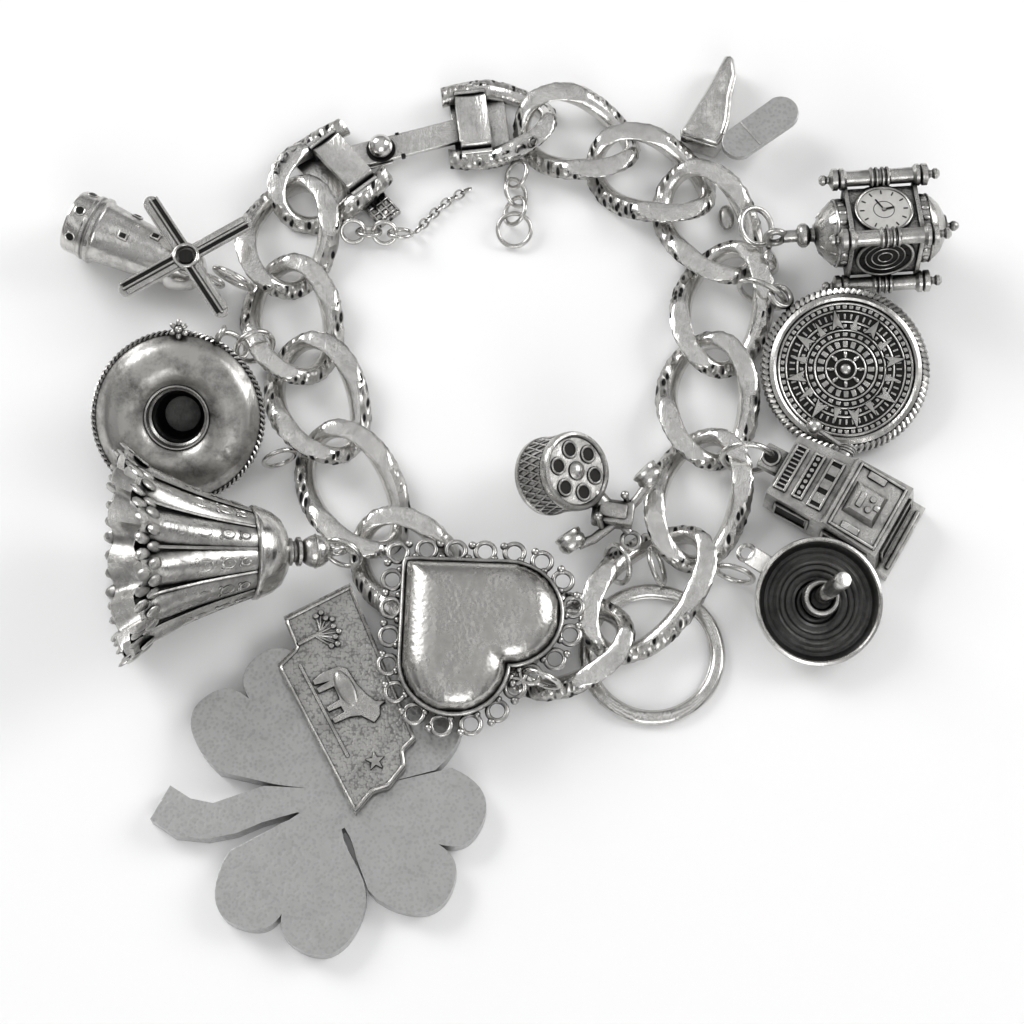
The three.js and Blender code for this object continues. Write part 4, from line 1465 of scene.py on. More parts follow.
@dataclass
class Clover:
    """A thick satin clover with four heart-shaped leaves and a curved stem."""

    x: float = -21.6
    y: float = -37.0
    thickness: float = 2.5
    leaves: tuple[Leaf, ...] = (
        Leaf(-24, 17.8, 18.2, 14.2), Leaf(52, 18.0, 16.0, 15.2), Leaf(130, 19.4, 17.0, 15.9),
        Leaf(249, 18.2, 17.8, 15.1),
    )
    borders: tuple[tuple[float, float], ...] = ((-67.5, 14), (14, 91), (91, 168), (208, 292.5))
    stem: tuple[tuple[float, float], ...] = (
        (-3.4, 1.1), (-8, 1.35), (-11, 0.3), (-14, -0.75), (-16.7, -0.2), (-19.2, 1.4), (-20.3, -0.6),
        (-21.4, -2.7), (-18.4, -4.7), (-14.5, -5.1), (-11, -4.4), (-8, -3.1), (-3.9, -1.9),
    )

    def outline(self) -> Outline:
        """The whole clover's outline, leaf by leaf, with the stem before the last leaf.

        Returns:
            The outline.
        """
        points: list[Vector] = []
        for i, (leaf, (first, last)) in enumerate(zip(self.leaves, self.borders)):
            if i == len(self.leaves) - 1:
                points += [Vector(p) for p in self.stem]
            right = leaf.curve()
            left = [Vector((p.x, -p.y)) for p in reversed(right[:-1])]
            turn = Matrix.Rotation(math.radians(leaf.heading), 2)
            for point in right + left:
                spread = math.degrees(math.atan2(point.y, point.x)) + leaf.heading
                if first < spread < last:
                    points.append(turn @ point)
        return [(p.x, p.y) for p in points]

    def build(self, bench: Bench) -> None:
        """Makes the clover."""
        work = Work().add(slab(self.outline(), self.thickness, 0.3))
        bench.lay("clover_leaves", work, moved(self.x, self.y, 0), [SATIN], "clover")


@dataclass
class PlainRing:
    """A plain half-round finger ring with a step inside its band."""

    where: Matrix = field(default_factory=lambda: moved(17.1, -18.7, 0.6))
    radius: float = 8.1
    wire: float = 1.8
    flat: float = 0.66

    def build(self, bench: Bench) -> None:
        """Makes the ring.

        Args:
            bench: Where it is made.
        """
        work = Work(hoop(self.radius, self.wire, 112, 20))
        work.add(hoop(self.radius - 0.72, 0.5, 112, 10))
        bench.lay("plain_ring_band", work, self.where @ stretched(1, 1, self.flat), [POLISHED], "plain_ring")


@dataclass
class Telephone:
    """An old telephone: a drum with a dial, a cradle block and a handset with round earpieces."""

    where: Matrix = field(default_factory=lambda: moved(7.0, 2.3, 7.9))
    heading: float = -19
    nod: float = 36
    holes: int = 6

    def drum(self) -> Work:
        """The drum and its dial: a rim, six bright-rimmed holes and a knob.

        Returns:
            The drum, upright.
        """
        work = Work()
        side = [(0, -5), (4.5, -5), (4.9, -4.7), (4.9, -4.2), (4.6, -4.0), (4.6, 0.6), (4.9, 0.8), (4.9, 1.4)]
        face = [(4.7, 1.8), (4.4, 1.9), (4.2, 1.7), (4.1, 1.5), (0, 1.5)]
        work.add(lathe(side + face, 72))
        for i in range(self.holes):
            spot = turned("Z", 60 * i + 15) @ moved(2.75, 0, 1.5)
            work.add(hoop(0.95, 0.34, 28, 8), spot @ moved(0, 0, 0.08))
            # A dark disc in each finger hole: painted shade.
            work.add(disc(0.86, 0.06, 0), spot, 1)
        work.add(lathe([(0, 1.4), (1.1, 1.4), (1.1, 1.7), (0.8, 2.0), (0, 2.1)], 32))
        for i in range(30):
            lean = turned("Z", 12 * i)
            work.add(rod((4.62, -0.7, -3.9), (4.62, 0.7, 0.5), 0.16, sides=6), lean)
            work.add(rod((4.62, 0.7, -3.9), (4.62, -0.7, 0.5), 0.16, sides=6), lean)
        return work

    def build(self, bench: Bench) -> None:
        """Makes the telephone.

        Args:
            bench: Where it is made.
        """
        work = Work().add(self.drum().mesh, turned("Z", self.heading) @ turned("Y", self.nod))
        cradle = moved(5.4, -4.3, -3.1) @ turned("Z", -8)
        work.add(block(5.2, 3.2, 2.6, 0.5), cradle)
        work.add(block(3.4, 1.9, 0.6, 0.25), cradle @ moved(0, 0, 1.4))
        work.add(rod((1.5, -1.0, -1.6), (5.4, -4.3, -3.1), 1.4, 1.1))
        grip = [
            (10.0, -0.4, -2.1), (8.4, -2.6, -2.5), (5.9, -5.2, -3.2), (3.0, -7.4, -3.6), (1.2, -8.2, -3.6),
        ]
        work.add(tube(grip, 1.25, 12))
        puck = [
            (0, 0), (1.2, 0), (1.7, 0.5), (1.8, 1.2), (1.6, 1.6), (1.75, 1.9), (1.75, 2.2), (1.3, 2.4),
            (0, 2.2),
        ]
        for start, end in (((10.7, -0.5, -2.2), (8.7, 1.4, -1.5)), ((0.9, -8.7, -3.7), (-0.5, -6.6, -3.1))):
            run = Vector(end) - Vector(start)
            turn = Vector((0, 0, 1)).rotation_difference(run).to_matrix().to_4x4()
            work.add(lathe(puck, 32), moved(*start) @ turn)
        for x, y in ((7.3, -3.2), (4.0, -6.0)):
            work.add(rod((x, y, -3.0), (x - 0.5, y + 0.6, -0.9), 0.42, 0.3, 10))
            work.add(ball(0.55, 12), moved(x - 0.5, y + 0.6, -0.9))
        work.add(rod((6.4, -5.2, -3.6), (7.4, -6.4, -4.1), 0.6))
        work.add(hoop(1.1, 0.6, 32, 10), moved(7.6, -7.4, -4.2))
        bench.lay("telephone_silver", work, self.where, [ANTIQUE, BLACK_AND_SHADE], "telephone")


@dataclass
class Dish:
    """A round dish with dark ridges inside, a pin in its middle and a strap bail."""

    where: Matrix = field(default_factory=lambda: place(37.2, -12.9, 3.2, nod=4, roll=14))
    bail_at: float = 145

    def inside(self) -> Outline:
        """The ridged inside, from the rim to the middle.

        Returns:
            The outline.
        """
        floor = ((6.9, 1.25), (6.4, 0.85), (5.2, 0.55), (3.6, 0.1), (1.8, 0.2))
        curve = softened(list(floor), 7)
        return [(radius, z + 0.09 * math.cos(radius * 9)) for radius, z in curve]

    def build(self, bench: Bench) -> None:
        """Makes the dish, its pin and its bail.

        Args:
            bench: Where it is made.
        """
        work = Work()
        under = [
            (0, -1.0), (4.4, -0.9), (7.0, 0.1), (7.75, 1.0), (7.9, 1.5), (7.8, 1.9), (7.5, 2.0),
            (7.3, 1.85),
        ]
        bowl = lathe([*under, *self.inside(), (0, 0.2)], 96)
        bowl.normal_update()
        for face in bowl.faces:
            middle = face.calc_center_median()
            reach = math.hypot(middle.x, middle.y)
            face.material_index = 0 if reach < 7.1 and face.normal.z > 0 else 1
        work.add(bowl)
        spun = [(0, 0), (2.3, 0.1), (2.3, 0.5), (2.0, 0.7), (1.5, 0.8), (1.3, 1.2), (0, 1.3)]
        work.add(lathe(spun, 40), moved(0.3, 0.4, 0.4), 0)
        work.add(hoop(1.9, 0.75, 40, 12), moved(0.3, 0.4, 1.75), 1)
        pin = [(0, 0), (1.05, 0), (1.0, 5.0), (1.1, 6.0), (0.95, 6.5), (0, 6.7)]
        lean = Vector((0, 0, 1)).rotation_difference(Vector((1.6, 1.8, 6.4))).to_matrix().to_4x4()
        work.add(lathe(pin, 28), moved(0.4, 0.6, 1.2) @ lean, 1)
        round_z = turned("Z", self.bail_at)
        strap = block(3.4, 2.5, 0.6, 0.2)
        work.add(strap, round_z @ moved(8.4, 0, -0.1) @ turned("Y", 28), 1)
        work.add(hoop(1.0, 0.6, 32, 10), round_z @ moved(10.4, 0, -1.1) @ turned("Y", 28), 1)
        bench.lay("dish_silver", work, self.where, [BLACKENED_AND_SHADE, POLISHED], "spinning_dish", crease=30)


@dataclass
class SlotMachine:
    """A slot machine lying on its back, with its windows, its buttons and its side lever."""

    where: Matrix = field(default_factory=lambda: place(41.1, -0.2, 0.15, -30))
    display_half: float = 4.4
    foot_half: float = 5.3
    half_length: float = 8.9
    lever_at: float = -2.8
    lever_y: float = 6.1
    lever_z: float = 4.8
    lever_length: float = 4.7

    def side(self) -> Outline:
        """The body's side view, as length and height."""
        return [
            (-8.9, 0.6), (8.9, 0), (8.9, 1.4), (7.2, 1.8), (6.6, 5.6), (-1.0, 6.9), (-1.3, 6.2),
            (-8.9, 5.6),
        ]

    def tapered(self, point: Vector) -> Triple:
        """A corner brought in where the body is narrower.

        Args:
            point: The corner.

        Returns:
            Where it goes.
        """
        share = (point.x + self.half_length) / (2 * self.half_length)
        half = self.display_half + (self.foot_half - self.display_half) * share
        return (point.x, point.y * half / self.foot_half, point.z)

    def front(self, work: Work) -> None:
        """The windows, grille, buttons and tray on the upper face.

        Args:
            work: The piece that it joins.
        """
        slope = math.degrees(math.atan2(0.6, 7.6))
        head = moved(-5.1, 0, 5.92) @ turned("Y", -slope)
        half = self.display_half
        for x, wide, tall in ((-2.6, 6.6, 1.7), (-0.2, 6.6, 1.5), (2.2, 7.0, 1.9)):
            framed(work, head @ moved(x, 0, 0), tall, wide)
        for i in range(3):
            work.add(block(1.3, 1.3, 0.24, 0.08), head @ moved(2.2, (i - 1) * 2.0, 0.1))
        for i in range(9):
            work.add(block(1.0, 0.22, 0.2, 0.04), head @ moved(-2.6, (i - 4) * 0.62, 0.1))
        for i in range(7):
            work.add(disc(0.26, 0.24, 0, sides=10), head @ moved(-0.2, (i - 3) * 0.84, 0.02))
        belly = moved(2.8, 0, 6.25) @ turned("Y", math.degrees(math.atan2(1.3, 7.6)))
        framed(work, belly, 6.6, 2 * half + 0.3, floor=0)
        raised = disc(3.1, 0.8, 0, 2.3, 4)
        work.add(raised, belly @ moved(-0.4, 0, 0) @ turned("Z", 45))
        work.add(block(0.7, 2.0, 0.3, 0.08), belly @ moved(-1.2, 0, 0.85))
        for across in (0.75, -0.75):
            work.add(disc(0.42, 0.3, 0.75, 0.36, 20), belly @ moved(0.1, across, 0))
        work.add(block(0.7, 0.7, 0.3, 0.08), belly @ moved(1.0, 0, 0.85))
        work.add(block(2.4, 0.9, 0.3, 0.1), belly @ moved(-0.6, 3.7, 0.1))
        work.add(block(2.4, 0.9, 0.3, 0.1), belly @ moved(-0.6, -3.7, 0.1))
        tray = moved(7.0, 0, 3.6) @ turned("Y", 81)
        framed(work, tray, 2.6, 8.2)
        work.add(block(0.5, 8.6, 0.5, 0.12), moved(8.3, 0, 1.6))

    def sides(self, work: Work) -> None:
        """A sunk panel on each side.

        Args:
            work: The piece that it joins.
        """
        for across in (1, -1):
            panel = moved(2.4, across * 5.02, 3.2) @ turned("X", -90 * across)
            framed(work, panel, 6.2, 3.4)
            framed(work, moved(-5.0, across * 4.62, 3.2) @ turned("X", -90 * across), 4.8, 3.2)

    def lever(self) -> Work:
        """The lever with its eye and its ball.

        Returns:
            The lever, about its pivot.
        """
        work = Work()
        work.add(hoop(0.9, 0.32, 28, 8), moved(0, 5.6, 0) @ turned("X", 90))
        work.add(hoop(0.9, 0.32, 28, 8), moved(0, 6.3, 0) @ turned("X", 90))
        work.add(hoop(0.9, 0.3, 28, 8), moved(0, 5.95, 0) @ turned("X", 90))
        reach = self.lever_length
        work.add(rod((-0.85, self.lever_y, 0), (-reach, self.lever_y + 0.4, 0.2), 0.36, 0.28))
        return work.add(ball(1.0, 24), moved(-reach - 0.4, self.lever_y + 0.5, 0.2))

    def build(self, bench: Bench) -> None:
        """Makes the body and the lever.

        Args:
            bench: Where it is made.
        """
        work = Work()
        body = slab([(x, z) for x, z in self.side()], 2 * self.foot_half, 0.18)
        bmesh.ops.transform(body, matrix=moved(0, self.foot_half, 0) @ turned("X", 90), verts=body.verts)
        work.add(warped(body, self.tapered))
        self.front(work)
        self.sides(work)
        work.add(block(3.4, 3.4, 1.3, 0.3), moved(-10.1, 0.4, 4.2))
        work.add(hoop(1.05, 0.4, 32, 10), moved(-10.6, 0.4, 4.85))
        # A dark disc in the loop's hole: painted shade.
        work.add(disc(0.95, 0.1, 4.82), moved(-10.6, 0.4, 0), 1)
        work.add(rod((self.lever_at, 4, self.lever_z), (self.lever_at, 5.3, self.lever_z), 1.1, 0.95, 28))
        work.add(rod((self.lever_at, 5, self.lever_z), (self.lever_at, 6.75, self.lever_z), 0.5, 0.42, 16))
        bench.lay("slot_machine_case", work, self.where, [ANTIQUE, BLACK_AND_SHADE], "slot_machine_body")
        pivot = self.where @ moved(self.lever_at, 0, self.lever_z)
        bench.lay("slot_machine_arm", self.lever(), pivot, [POLISHED], "slot_machine_lever", "lever")


def framed(
    work: Work, where: Matrix, length: float, width: float, rail: float = 0.32, floor: int = 1
) -> None:
    """A raised frame with a dark floor, lying on a face.

    Args:
        work: The piece that it joins.
        where: The frame's place.
        length: Along X.
        width: Along Y.
        rail: How wide the frame is.
        floor: The floor's finish, or 0 for none.
    """
    for along in (1, -1):
        rail_x = block(rail, width, rail * 1.3, 0.08)
        work.add(rail_x, where @ moved(along * (length - rail) / 2, 0, 0.08))
        rail_y = block(length - 2 * rail, rail, rail * 1.3, 0.08)
        work.add(rail_y, where @ moved(0, along * (width - rail) / 2, 0.08))
    if floor:
        work.add(block(length - rail, width - rail, 0.08, 0), where @ moved(0, 0, 0.03), floor)


@dataclass
class Medallion:
    """A round medallion with a rope border and rings of generic sunburst relief on a black ground."""

    where: Matrix = field(default_factory=lambda: place(42.0, 17.8, 3.5, roll=13))
    loop_at: float = 130

    def relief(self, work: Work) -> None:
        """The rings, rays and beads, from the middle outwards.

        Args:
            work: The piece that it joins.
        """
        rings = ((8.45, 0.42), (7.5, 0.26), (6.1, 0.3), (5.0, 0.24), (3.9, 0.3), (2.5, 0.3), (1.3, 0.3))
        for radius, wire in rings:
            work.add(hoop(radius, wire, 96, 8), moved(0, 0, 0.42))
        work.add(ball(0.75, 16), moved(0, 0, 0.4) @ stretched(1, 1, 0.6))
        for i in range(8):
            ray = [(5.05, -0.75), (7.7, 0), (5.05, 0.75), (5.6, 0)]
            work.add(slab(ray, 0.34, 0.08), turned("Z", 45 * i + 10) @ moved(0, 0, 0.36))
            point = [(5.05, -0.45), (7.1, 0), (5.05, 0.45)]
            work.add(slab(point, 0.26, 0.06), turned("Z", 45 * i + 32.5) @ moved(0, 0, 0.36))
            petal = moved(1.9, 0, 0.42) @ stretched(0.52, 0.3, 0.3)
            work.add(ball(1, 10), turned("Z", 45 * i) @ petal)
        self.ring_of(work, 20, 3.2, lambda: block(0.85, 0.62, 0.4, 0.1))
        self.ring_of(work, 28, 4.45, lambda: block(0.5, 0.62, 0.36, 0.1))
        self.ring_of(work, 40, 5.55, lambda: block(0.45, 0.42, 0.3, 0.08))
        self.ring_of(work, 52, 6.75, lambda: block(0.7, 0.26, 0.26, 0.06))
        self.ring_of(work, 60, 7.98, lambda: block(0.5, 0.55, 0.34, 0.1))

    def ring_of(self, work: Work, count: int, radius: float, made: Callable[[], bmesh.types.BMesh]) -> None:
        """A ring of raised blocks.

        Args:
            work: The piece that it joins.
            count: How many blocks.
            radius: How far out they are.
            made: What makes one block.
        """
        for i in range(count):
            work.add(made(), turned("Z", 360 * i / count) @ moved(radius, 0, 0.4))

    def build(self, bench: Bench) -> None:
        """Makes the medallion.

        Args:
            bench: Where it is made.
        """
        ground = [
            (0, -1.0), (9.6, -1.0), (9.9, -0.5), (9.6, 0.7), (9.1, 0.95), (8.8, 0.8), (8.65, 0.38),
            (0, 0.38),
        ]
        disc_mesh = lathe(ground, 96)
        disc_mesh.normal_update()
        for face in disc_mesh.faces:
            middle = face.calc_center_median()
            face.material_index = 1 if face.normal.z > 0.9 and math.hypot(middle.x, middle.y) < 8.7 else 0
        work = Work().add(disc_mesh)
        self.relief(work)
        work.add(rope(10.0, 1.45, 42))
        loop = turned("Z", self.loop_at) @ moved(12.4, 0, -0.2) @ turned("X", 35)
        work.add(hoop(1.5, 0.8, 40, 10), loop)
        bench.lay("medallion_silver", work, self.where, [ANTIQUE, BLACK_AND_SHADE], "medallion")


@dataclass
class LanternClock:
    """A clock on its side: four corner columns, domed ends, a dial above and another in front."""

    where: Matrix = field(default_factory=lambda: place(46.8, 35.4, 7.3, 4, roll=-12))
    post_offset: float = 4.8
    half_body: float = 3.9
    body_length: float = 9.4
    dial: float = 3.5

    def column(self) -> bmesh.types.BMesh:
        """One corner column along Z, with its collars and its ball finials.

        Returns:
            The column.
        """
        half = [
            (1.0, 1.35), (1.0, 4.2), (1.15, 4.35), (1.4, 4.6), (1.4, 5.0), (1.15, 5.2), (1.4, 5.4),
            (1.4, 6.0), (0.9, 6.25), (0.5, 6.45), (0.45, 6.7), (0.7, 7.0), (0.68, 7.35), (0.4, 7.65),
            (0, 7.7),
        ]
        rings = [(1.05, 0.15), (1.3, 0.3), (1.3, 0.5), (1.05, 0.65), (1.05, 0.75), (1.3, 0.9), (1.3, 1.1)]
        upper = rings + half
        return lathe([(r, -z) for r, z in reversed(upper)] + upper, 28)

    def face(self, work: Work, turn: Matrix, ground: int) -> None:
        """A dial with its bezel, hour marks and hands, on one side of the body.

        Args:
            work: The piece that it joins.
            turn: Which side it is on.
            ground: The dial's finish.
        """
        dark = 2
        spot = turn @ moved(0, 0, self.half_body + 0.05)
        work.add(disc(self.dial, 0.3, 0), spot, ground)
        work.add(hoop(self.dial, 0.45, 64, 10), spot @ moved(0, 0, 0.3))
        for i in range(12):
            mark = block(0.55, 0.14, 0.08, 0)
            work.add(mark, spot @ turned("Z", 30 * i) @ moved(self.dial - 0.75, 0, 0.33), dark)
        if ground != dark:
            work.add(hoop(1.3, 0.1, 40, 6), spot @ moved(0, 0, 0.3), dark)
            work.add(block(1.9, 0.16, 0.1, 0), spot @ turned("Z", 118) @ moved(0.9, 0, 0.36), dark)
            work.add(block(1.4, 0.2, 0.1, 0), spot @ turned("Z", 12) @ moved(0.65, 0, 0.38), dark)
            work.add(disc(0.25, 0.16, 0.3), spot)
        else:
            for radius in (0.9, 1.7, 2.5):
                work.add(hoop(radius, 0.18, 40, 6), spot @ moved(0, 0, 0.3))

    def ends(self, work: Work) -> None:
        """The two domes with their bands, the neck and the finial.

        Args:
            work: The piece that it joins.
        """
        left = [
            (0, -12.4), (0.8, -12.4), (0.8, -10.7), (1.3, -10.5), (1.55, -10.1), (1.55, -9.6), (1.2, -9.2),
            (0.85, -9.0), (0.95, -8.5), (2.0, -8.1), (3.2, -7.3), (4.0, -6.3), (4.2, -5.7), (4.2, -4.5),
            (0, -4.5),
        ]
        right = [
            (0, 4.5), (4.2, 4.5), (4.2, 5.8), (3.9, 6.5), (3.1, 7.3), (2.0, 7.9), (1.5, 8.1), (1.5, 8.3),
            (0.6, 8.5), (0.4, 8.8), (0.65, 9.2), (0.65, 9.5), (0.35, 9.95), (0, 10.1),
        ]
        work.add(lathe(left, 48), ALONG_X).add(lathe(right, 48), ALONG_X)
        for i in range(18):
            around = turned("X", 20 * i)
            work.add(ball(0.42, 10), around @ moved(5.2, 0, 4.15) @ stretched(1.3, 1, 0.6))
            work.add(ball(0.42, 10), around @ moved(-5.2, 0, 4.15) @ stretched(1.3, 1, 0.6))
            work.add(rod((-6.2, 0, 4.0), (-7.9, 0, 2.3), 0.18, sides=6), around)
        work.add(hoop(4.2, 0.35, 64, 8), moved(5.9, 0, 0) @ ALONG_X)
        work.add(hoop(4.2, 0.35, 64, 8), moved(-5.9, 0, 0) @ ALONG_X)

    def build(self, bench: Bench) -> None:
        """Makes the clock.

        Args:
            bench: Where it is made.
        """
        full = 2 * self.half_body
        dark, pebbled, pale = 2, 3, 4
        work = Work().add(block(self.body_length, full, full, 0.12), STILL, pebbled)
        for x in (-4.4, 4.4):
            work.add(block(0.6, full + 1.0, full + 1.0, 0.15), moved(x, 0, 0))
        self.ends(work)
        for side in (1, -1):
            for level in (1, -1):
                spot = moved(0, side * self.post_offset, level * self.post_offset)
                work.add(self.column(), spot @ ALONG_X)
        self.face(work, STILL, pale)
        self.face(work, turned("X", 90), dark)
        self.face(work, turned("X", -90), dark)
        work.add(hoop(1.15, 0.9, 36, 12), moved(-13.4, 0, 0) @ turned("X", 90))
        finishes = [ANTIQUE, ANTIQUE, BLACK_AND_SHADE, PEBBLE, PALE]
        bench.lay("lantern_clock_silver", work, self.where, finishes, "lantern_clock")


@dataclass
class PearDrop:
    """A small pear-shaped drop with a ball on its neck."""

    where: Matrix = field(default_factory=lambda: place(33.1, 34.0, 1.8, roll=-70))

    def build(self, bench: Bench) -> None:
        """Makes the drop.

        Args:
            bench: Where it is made.
        """
        outline = [(0, -2.2), (1.0, -1.8), (1.3, -0.8), (0.9, 0.5), (0.4, 1.2), (0, 1.5)]
        work = Work().add(lathe(softened(outline, 4), 32)).add(ball(0.5, 16), moved(0, 0, 1.8))
        bench.lay("pear_drop_silver", work, self.where, [POLISHED], "pear_drop")


@dataclass
class Shoes:
    """A pair of shoes: one on its side, one sole up."""

    side: Matrix = field(default_factory=lambda: moved(29.3, 50.1, 0))
    sole: Matrix = field(default_factory=lambda: place(32.2, 51.2, 4.7, 38))

    def build(self, bench: Bench) -> None:
        """Makes both shoes.

        Args:
            bench: Where it is made.
        """
        outline = [
            (-1.2, 12.6), (-0.4, 12.7), (0, 12.2), (0.2, 9.6), (-0.6, 6.4), (-1.0, 3.0), (-1.6, 0.9),
            (-2.6, -0.6), (-4.8, 0.1), (-7.2, 1.0), (-7.1, 1.8), (-6.6, 2.6), (-5.5, 4.6), (-4.2, 6.8),
            (-2.6, 9.8),
        ]
        one = Work().add(slab(outline, 4.1, 0.9), moved(0, 0, 0.1))
        welt = [(x, y, 3.3) for x, y in outline[5:11]]
        one.add(tube(welt, 0.4, 8)).add(tube([(x * 0.96 - 0.1, y, 3.9) for x, y in outline[3:7]], 0.35, 8))
        bench.lay("shoe_on_side", one, self.side, [POLISHED], "shoe_side", crease=50)
        right = [(3.6 + 2.3 * math.cos(a), 2.3 * math.sin(a)) for a in arc(-90, 91, 15)]
        left = [(-3.6 + 2.2 * math.cos(a), 2.2 * math.sin(a)) for a in arc(90, 271, 15)]
        other = Work().add(slab(right + left, 0.9, 0.2))
        other.add(block(6.4, 3.4, 2.4, 0.9), moved(2.2, 0, -1.0), 1)
        other.add(block(0.3, 4.2, 0.12, 0), moved(-1.6, 0, 0.9), 1)
        bench.lay("shoe_upturned", other, self.sole, [SATIN, POLISHED], "shoe_sole")


@dataclass
class BeanTag:
    """A small bean-shaped tag."""

    where: Matrix = field(default_factory=lambda: moved(27.9, 40.4, 1.0))

    def build(self, bench: Bench) -> None:
        """Makes the tag."""
        work = Work().add(ball(1, 24), stretched(1.1, 1.8, 0.7))
        bench.lay("bean_tag_silver", work, self.where, [ANTIQUE], "bean_tag")


# ---- where everything lies ----

LINKS = (  # name, x, y, heading, length, nod, roll
    ("link_01", 8.5, 51.7, -22, 17, 2, 0),
    ("link_02", 18.1, 45.6, -30, 17.9, -1, 0),
    ("link_03", 25.4, 38.8, -63, 18.1, 2, 2),
    ("link_04", 26.8, 26.9, -101, 18.8, 1, 3),
    ("link_05", 24.7, 14.3, -92, 18.5, 0, 0),
    ("link_06", 23.1, 1.0, -105, 19.3, -1, 0),
    ("link_07", 16.6, -11.2, -131, 20.9, -3, 2),
    ("link_08", 6.0, -18.1, -168, 18, 6, -1),
    ("link_09", -4.6, -15.9, 147, 17.6, 1, 3),
    ("link_10", -12.4, -8.4, 134, 17.8, 1, 0),
    ("link_11", -19.9, 2.0, 117, 19.2, 0, 0),
    ("link_12", -24.6, 14.3, 107, 18.2, 2, 1),
    ("link_13", -28.1, 25.3, 100, 17.8, 0, -1),
    ("link_14", -28.9, 37.2, 79, 17.4, 2, 0),
)

JUMP_RINGS = (  # name, x, y, z, axis, lean, roll, radius, wire
    ("windmill_ring", -35.6, 30.4, 3.8, 62, 10, 0, 2.6, 0.8),
    ("sombrero_ring_1", -35.3, 20.5, 5.0, 32, 53, 0, 2.0, 0.8),
    ("sombrero_ring_2", -32.6, 21.1, 3.3, -67, 22, 0, 2.4, 0.8),
    ("spare_ring", -29.1, 6.3, 2.4, -70, 2, 0, 2.0, 0.6),
    ("bell_ring", -20.8, -6.7, 3.6, 70, -20, 1, 2.3, 0.7),
    ("heart_ring_1", 3.6, -23.3, 5.5, 69, -1, -10, 2.2, 0.7),
    ("telephone_ring_1", 13.0, -7.8, 2.8, 28, -26, -8, 2.4, 0.7),
    ("telephone_ring_2", 17.8, -8.1, 2.9, 12, 23, 0, 2.3, 0.7),
    ("dish_ring", 27.4, -9.1, 2.7, 72, -1, -11, 2.3, 0.7),
    ("slot_machine_ring", 29.2, 5.7, 4.1, 84, -11, 7, 3.1, 0.8),
    ("medallion_ring", 31.8, 28.0, 4.1, 65, 0, 0, 3.1, 0.75),
    ("clock_ring", 31.2, 36.8, 5.6, -18, 60, 0, 2.4, 0.8),
)

FIRST_RING = Vector((0.6, 46.3, 1.65))  # the middle of extension_ring_1


def hook_links(bench: Bench, table: Vector) -> None:
    """Makes the fourteen links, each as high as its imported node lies.

    Args:
        bench: Where they are made.
        table: The table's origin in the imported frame.
    """
    for name, x, y, heading, length, nod, roll in LINKS:
        low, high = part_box(name)
        level = (low.z + high.z) / 2 / MM - table.z / MM
        CurbLink(name, place(x, y, level, heading, nod, roll), length).build(bench)


def hang_rings(bench: Bench) -> None:
    """Makes the jump rings, the extension's rings and the safety rings.

    Args:
        bench: Where it is made.
    """
    for name, x, y, z, axis, lean, roll, radius, wire in JUMP_RINGS:
        JumpRing(name, place(x, y, z, axis, roll=roll) @ turned("Y", 90 - lean), radius, wire).build(bench)
    runs = (
        ("extension_ring", FIRST_RING, Vector((-0.1, -2.65, 0)), 3, 1.85),
        ("safety_ring", Vector((-20.6, 38.1, 1.6)), Vector((2.05, -0.1, 0)), 4, 1.5),
    )
    for name, start, step, count, radius in runs:
        heading = math.degrees(math.atan2(step.y, step.x))
        for i in range(count):
            spot = start + step * i
            where = place(*spot, heading, roll=-45 if i % 2 else 45)
            JumpRing(f"{name}_{i + 1}", where, radius, 0.6).build(bench)
    JumpRing("extension_end_ring", place(0.3, 38.5, 1.2, roll=16), 2.15, 0.6).build(bench)


# ---- the setting ----


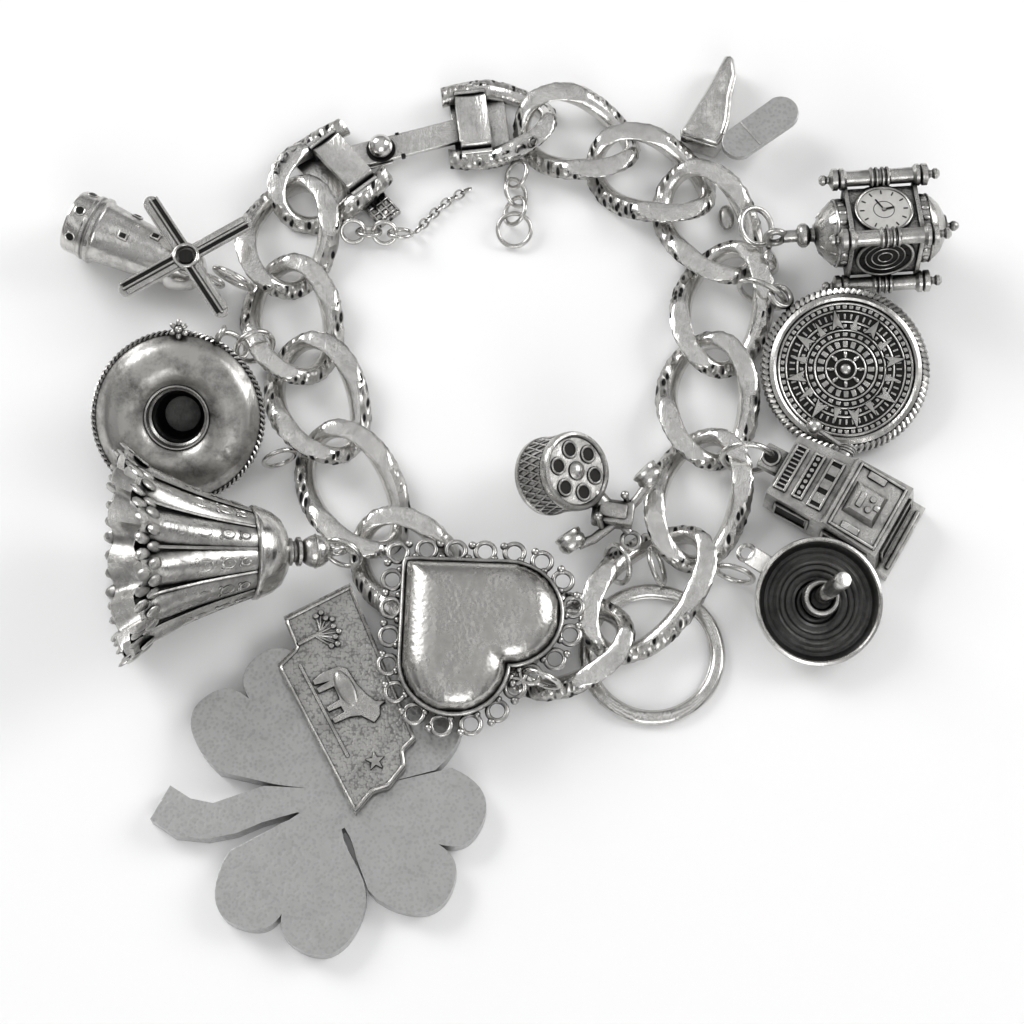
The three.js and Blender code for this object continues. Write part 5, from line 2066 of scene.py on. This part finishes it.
@dataclass
class Studio:
    """The pale surface, the camera above it and the soft lights round it."""

    table: Vector
    distance: float = 0.320
    elevation: float = 70
    lens: float = 90
    sensor: float = 36

    def camera(self) -> None:
        """Sets the camera above the loop, turned down on its middle."""
        data = bpy.data.cameras.new("camera")
        data.lens, data.sensor_width = self.lens, self.sensor
        data.clip_start, data.clip_end = 0.01, 20
        camera = bpy.data.objects.new("camera", data)
        lean = math.radians(self.elevation)
        back = Vector((0, -math.cos(lean), math.sin(lean)))
        camera.location = self.table + back * self.distance
        camera.rotation_euler = (-back).to_track_quat("-Z", "Y").to_euler()
        bpy.context.scene.collection.objects.link(camera)
        bpy.context.scene.camera = camera

    def light(self, name: str, at: Triple, size: float, power: float) -> None:
        """A soft square light aimed at the loop.

        Args:
            name: Its name.
            at: Its place, from the middle of the table.
            size: Its side.
            power: In watts.
        """
        data = bpy.data.lights.new(name, "AREA")
        data.size, data.energy = size, power
        lamp = bpy.data.objects.new(name, data)
        lamp.location = self.table + Vector(at)
        lamp.rotation_euler = (-Vector(at)).to_track_quat("-Z", "Y").to_euler()
        bpy.context.scene.collection.objects.link(lamp)

    def surroundings(self) -> None:
        """Pale walls with dark gaps between them, for the silver to reflect."""
        world = bpy.data.worlds.new("studio")
        world.use_nodes = True
        tree = world.node_tree
        around = tree.nodes.new("ShaderNodeTexCoord").outputs["Generated"]
        cloud = tree.nodes.new("ShaderNodeTexWave")
        for label, value in (("Scale", 1.15), ("Distortion", 2.2), ("Detail", 2.0), ("Phase Offset", 1.6)):
            cloud.inputs[label].default_value = value
        tree.links.new(around, cloud.inputs["Vector"])
        bands = ranged(tree, cloud.outputs["Fac"], (0.2, 0.62), (0.03, 1.15))
        split = tree.nodes.new("ShaderNodeSeparateXYZ")
        tree.links.new(around, split.inputs["Vector"])
        height = ranged(tree, split.outputs["Z"], (0.1, 0.9), (0.3, 1.0), smooth=False)
        strength = calculated(tree, "MULTIPLY", bands, height)
        tree.nodes["Background"].inputs["Color"].default_value = (1, 1, 1, 1)
        tree.links.new(strength, tree.nodes["Background"].inputs["Strength"])
        bpy.context.scene.world = world
        bpy.context.scene.view_settings.view_transform = "Standard"

    def floor(self) -> None:
        """A wide pale surface."""
        shape = bmesh.new()
        bmesh.ops.create_grid(shape, x_segments=1, y_segments=1, size=3, matrix=moved(0, 0, -0.00005))
        mesh = bpy.data.meshes.new("floor")
        shape.to_mesh(mesh)
        shape.free()
        material = bpy.data.materials.new("pale_floor")
        material.use_nodes = True
        shader = material.node_tree.nodes["Principled BSDF"]
        shader.inputs["Base Color"].default_value = (0.93, 0.93, 0.93, 1)
        shader.inputs["Roughness"].default_value = 0.8
        mesh.materials.append(material)
        floor = bpy.data.objects.new("floor", mesh)
        bpy.context.scene.collection.objects.link(floor)

    def build(self) -> None:
        """Makes the setting."""
        self.camera()
        self.floor()
        self.surroundings()
        self.light("key_light", (-0.55, 0.45, 0.45), 0.4, 3.6)
        self.light("fill_light", (0.65, 0.25, 0.4), 0.4, 2.5)
        self.light("front_light", (0.1, -0.75, 0.45), 0.5, 2.0)


def main() -> None:
    """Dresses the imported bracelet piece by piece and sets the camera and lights."""
    logging.basicConfig(level=logging.INFO, format="%(message)s")
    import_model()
    low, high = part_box("extension_ring_1")
    table = (low + high) / 2 - FIRST_RING * MM
    Studio(table).build()
    bench = Bench(table)
    hook_links(bench, table)
    ClaspEnd("clasp_box_link", -23.7, 45.9, 40, tongue=False).build(bench)
    ClaspEnd("clasp_tongue_link", -2.9, 53.6, 7, tongue=True).build(bench)
    hang_rings(bench)
    charms = (
        FineChain(), Windmill(), Sombrero(), BellShade(), Heart(), Plaque(), Clover(), PlainRing(),
        Telephone(), Dish(), SlotMachine(), Medallion(), LanternClock(), PearDrop(), Shoes(), BeanTag(),
    )
    for charm in charms:
        charm.build(bench)
    log.info("%d pieces made", bench.made)


if __name__ == "__main__":
    main()
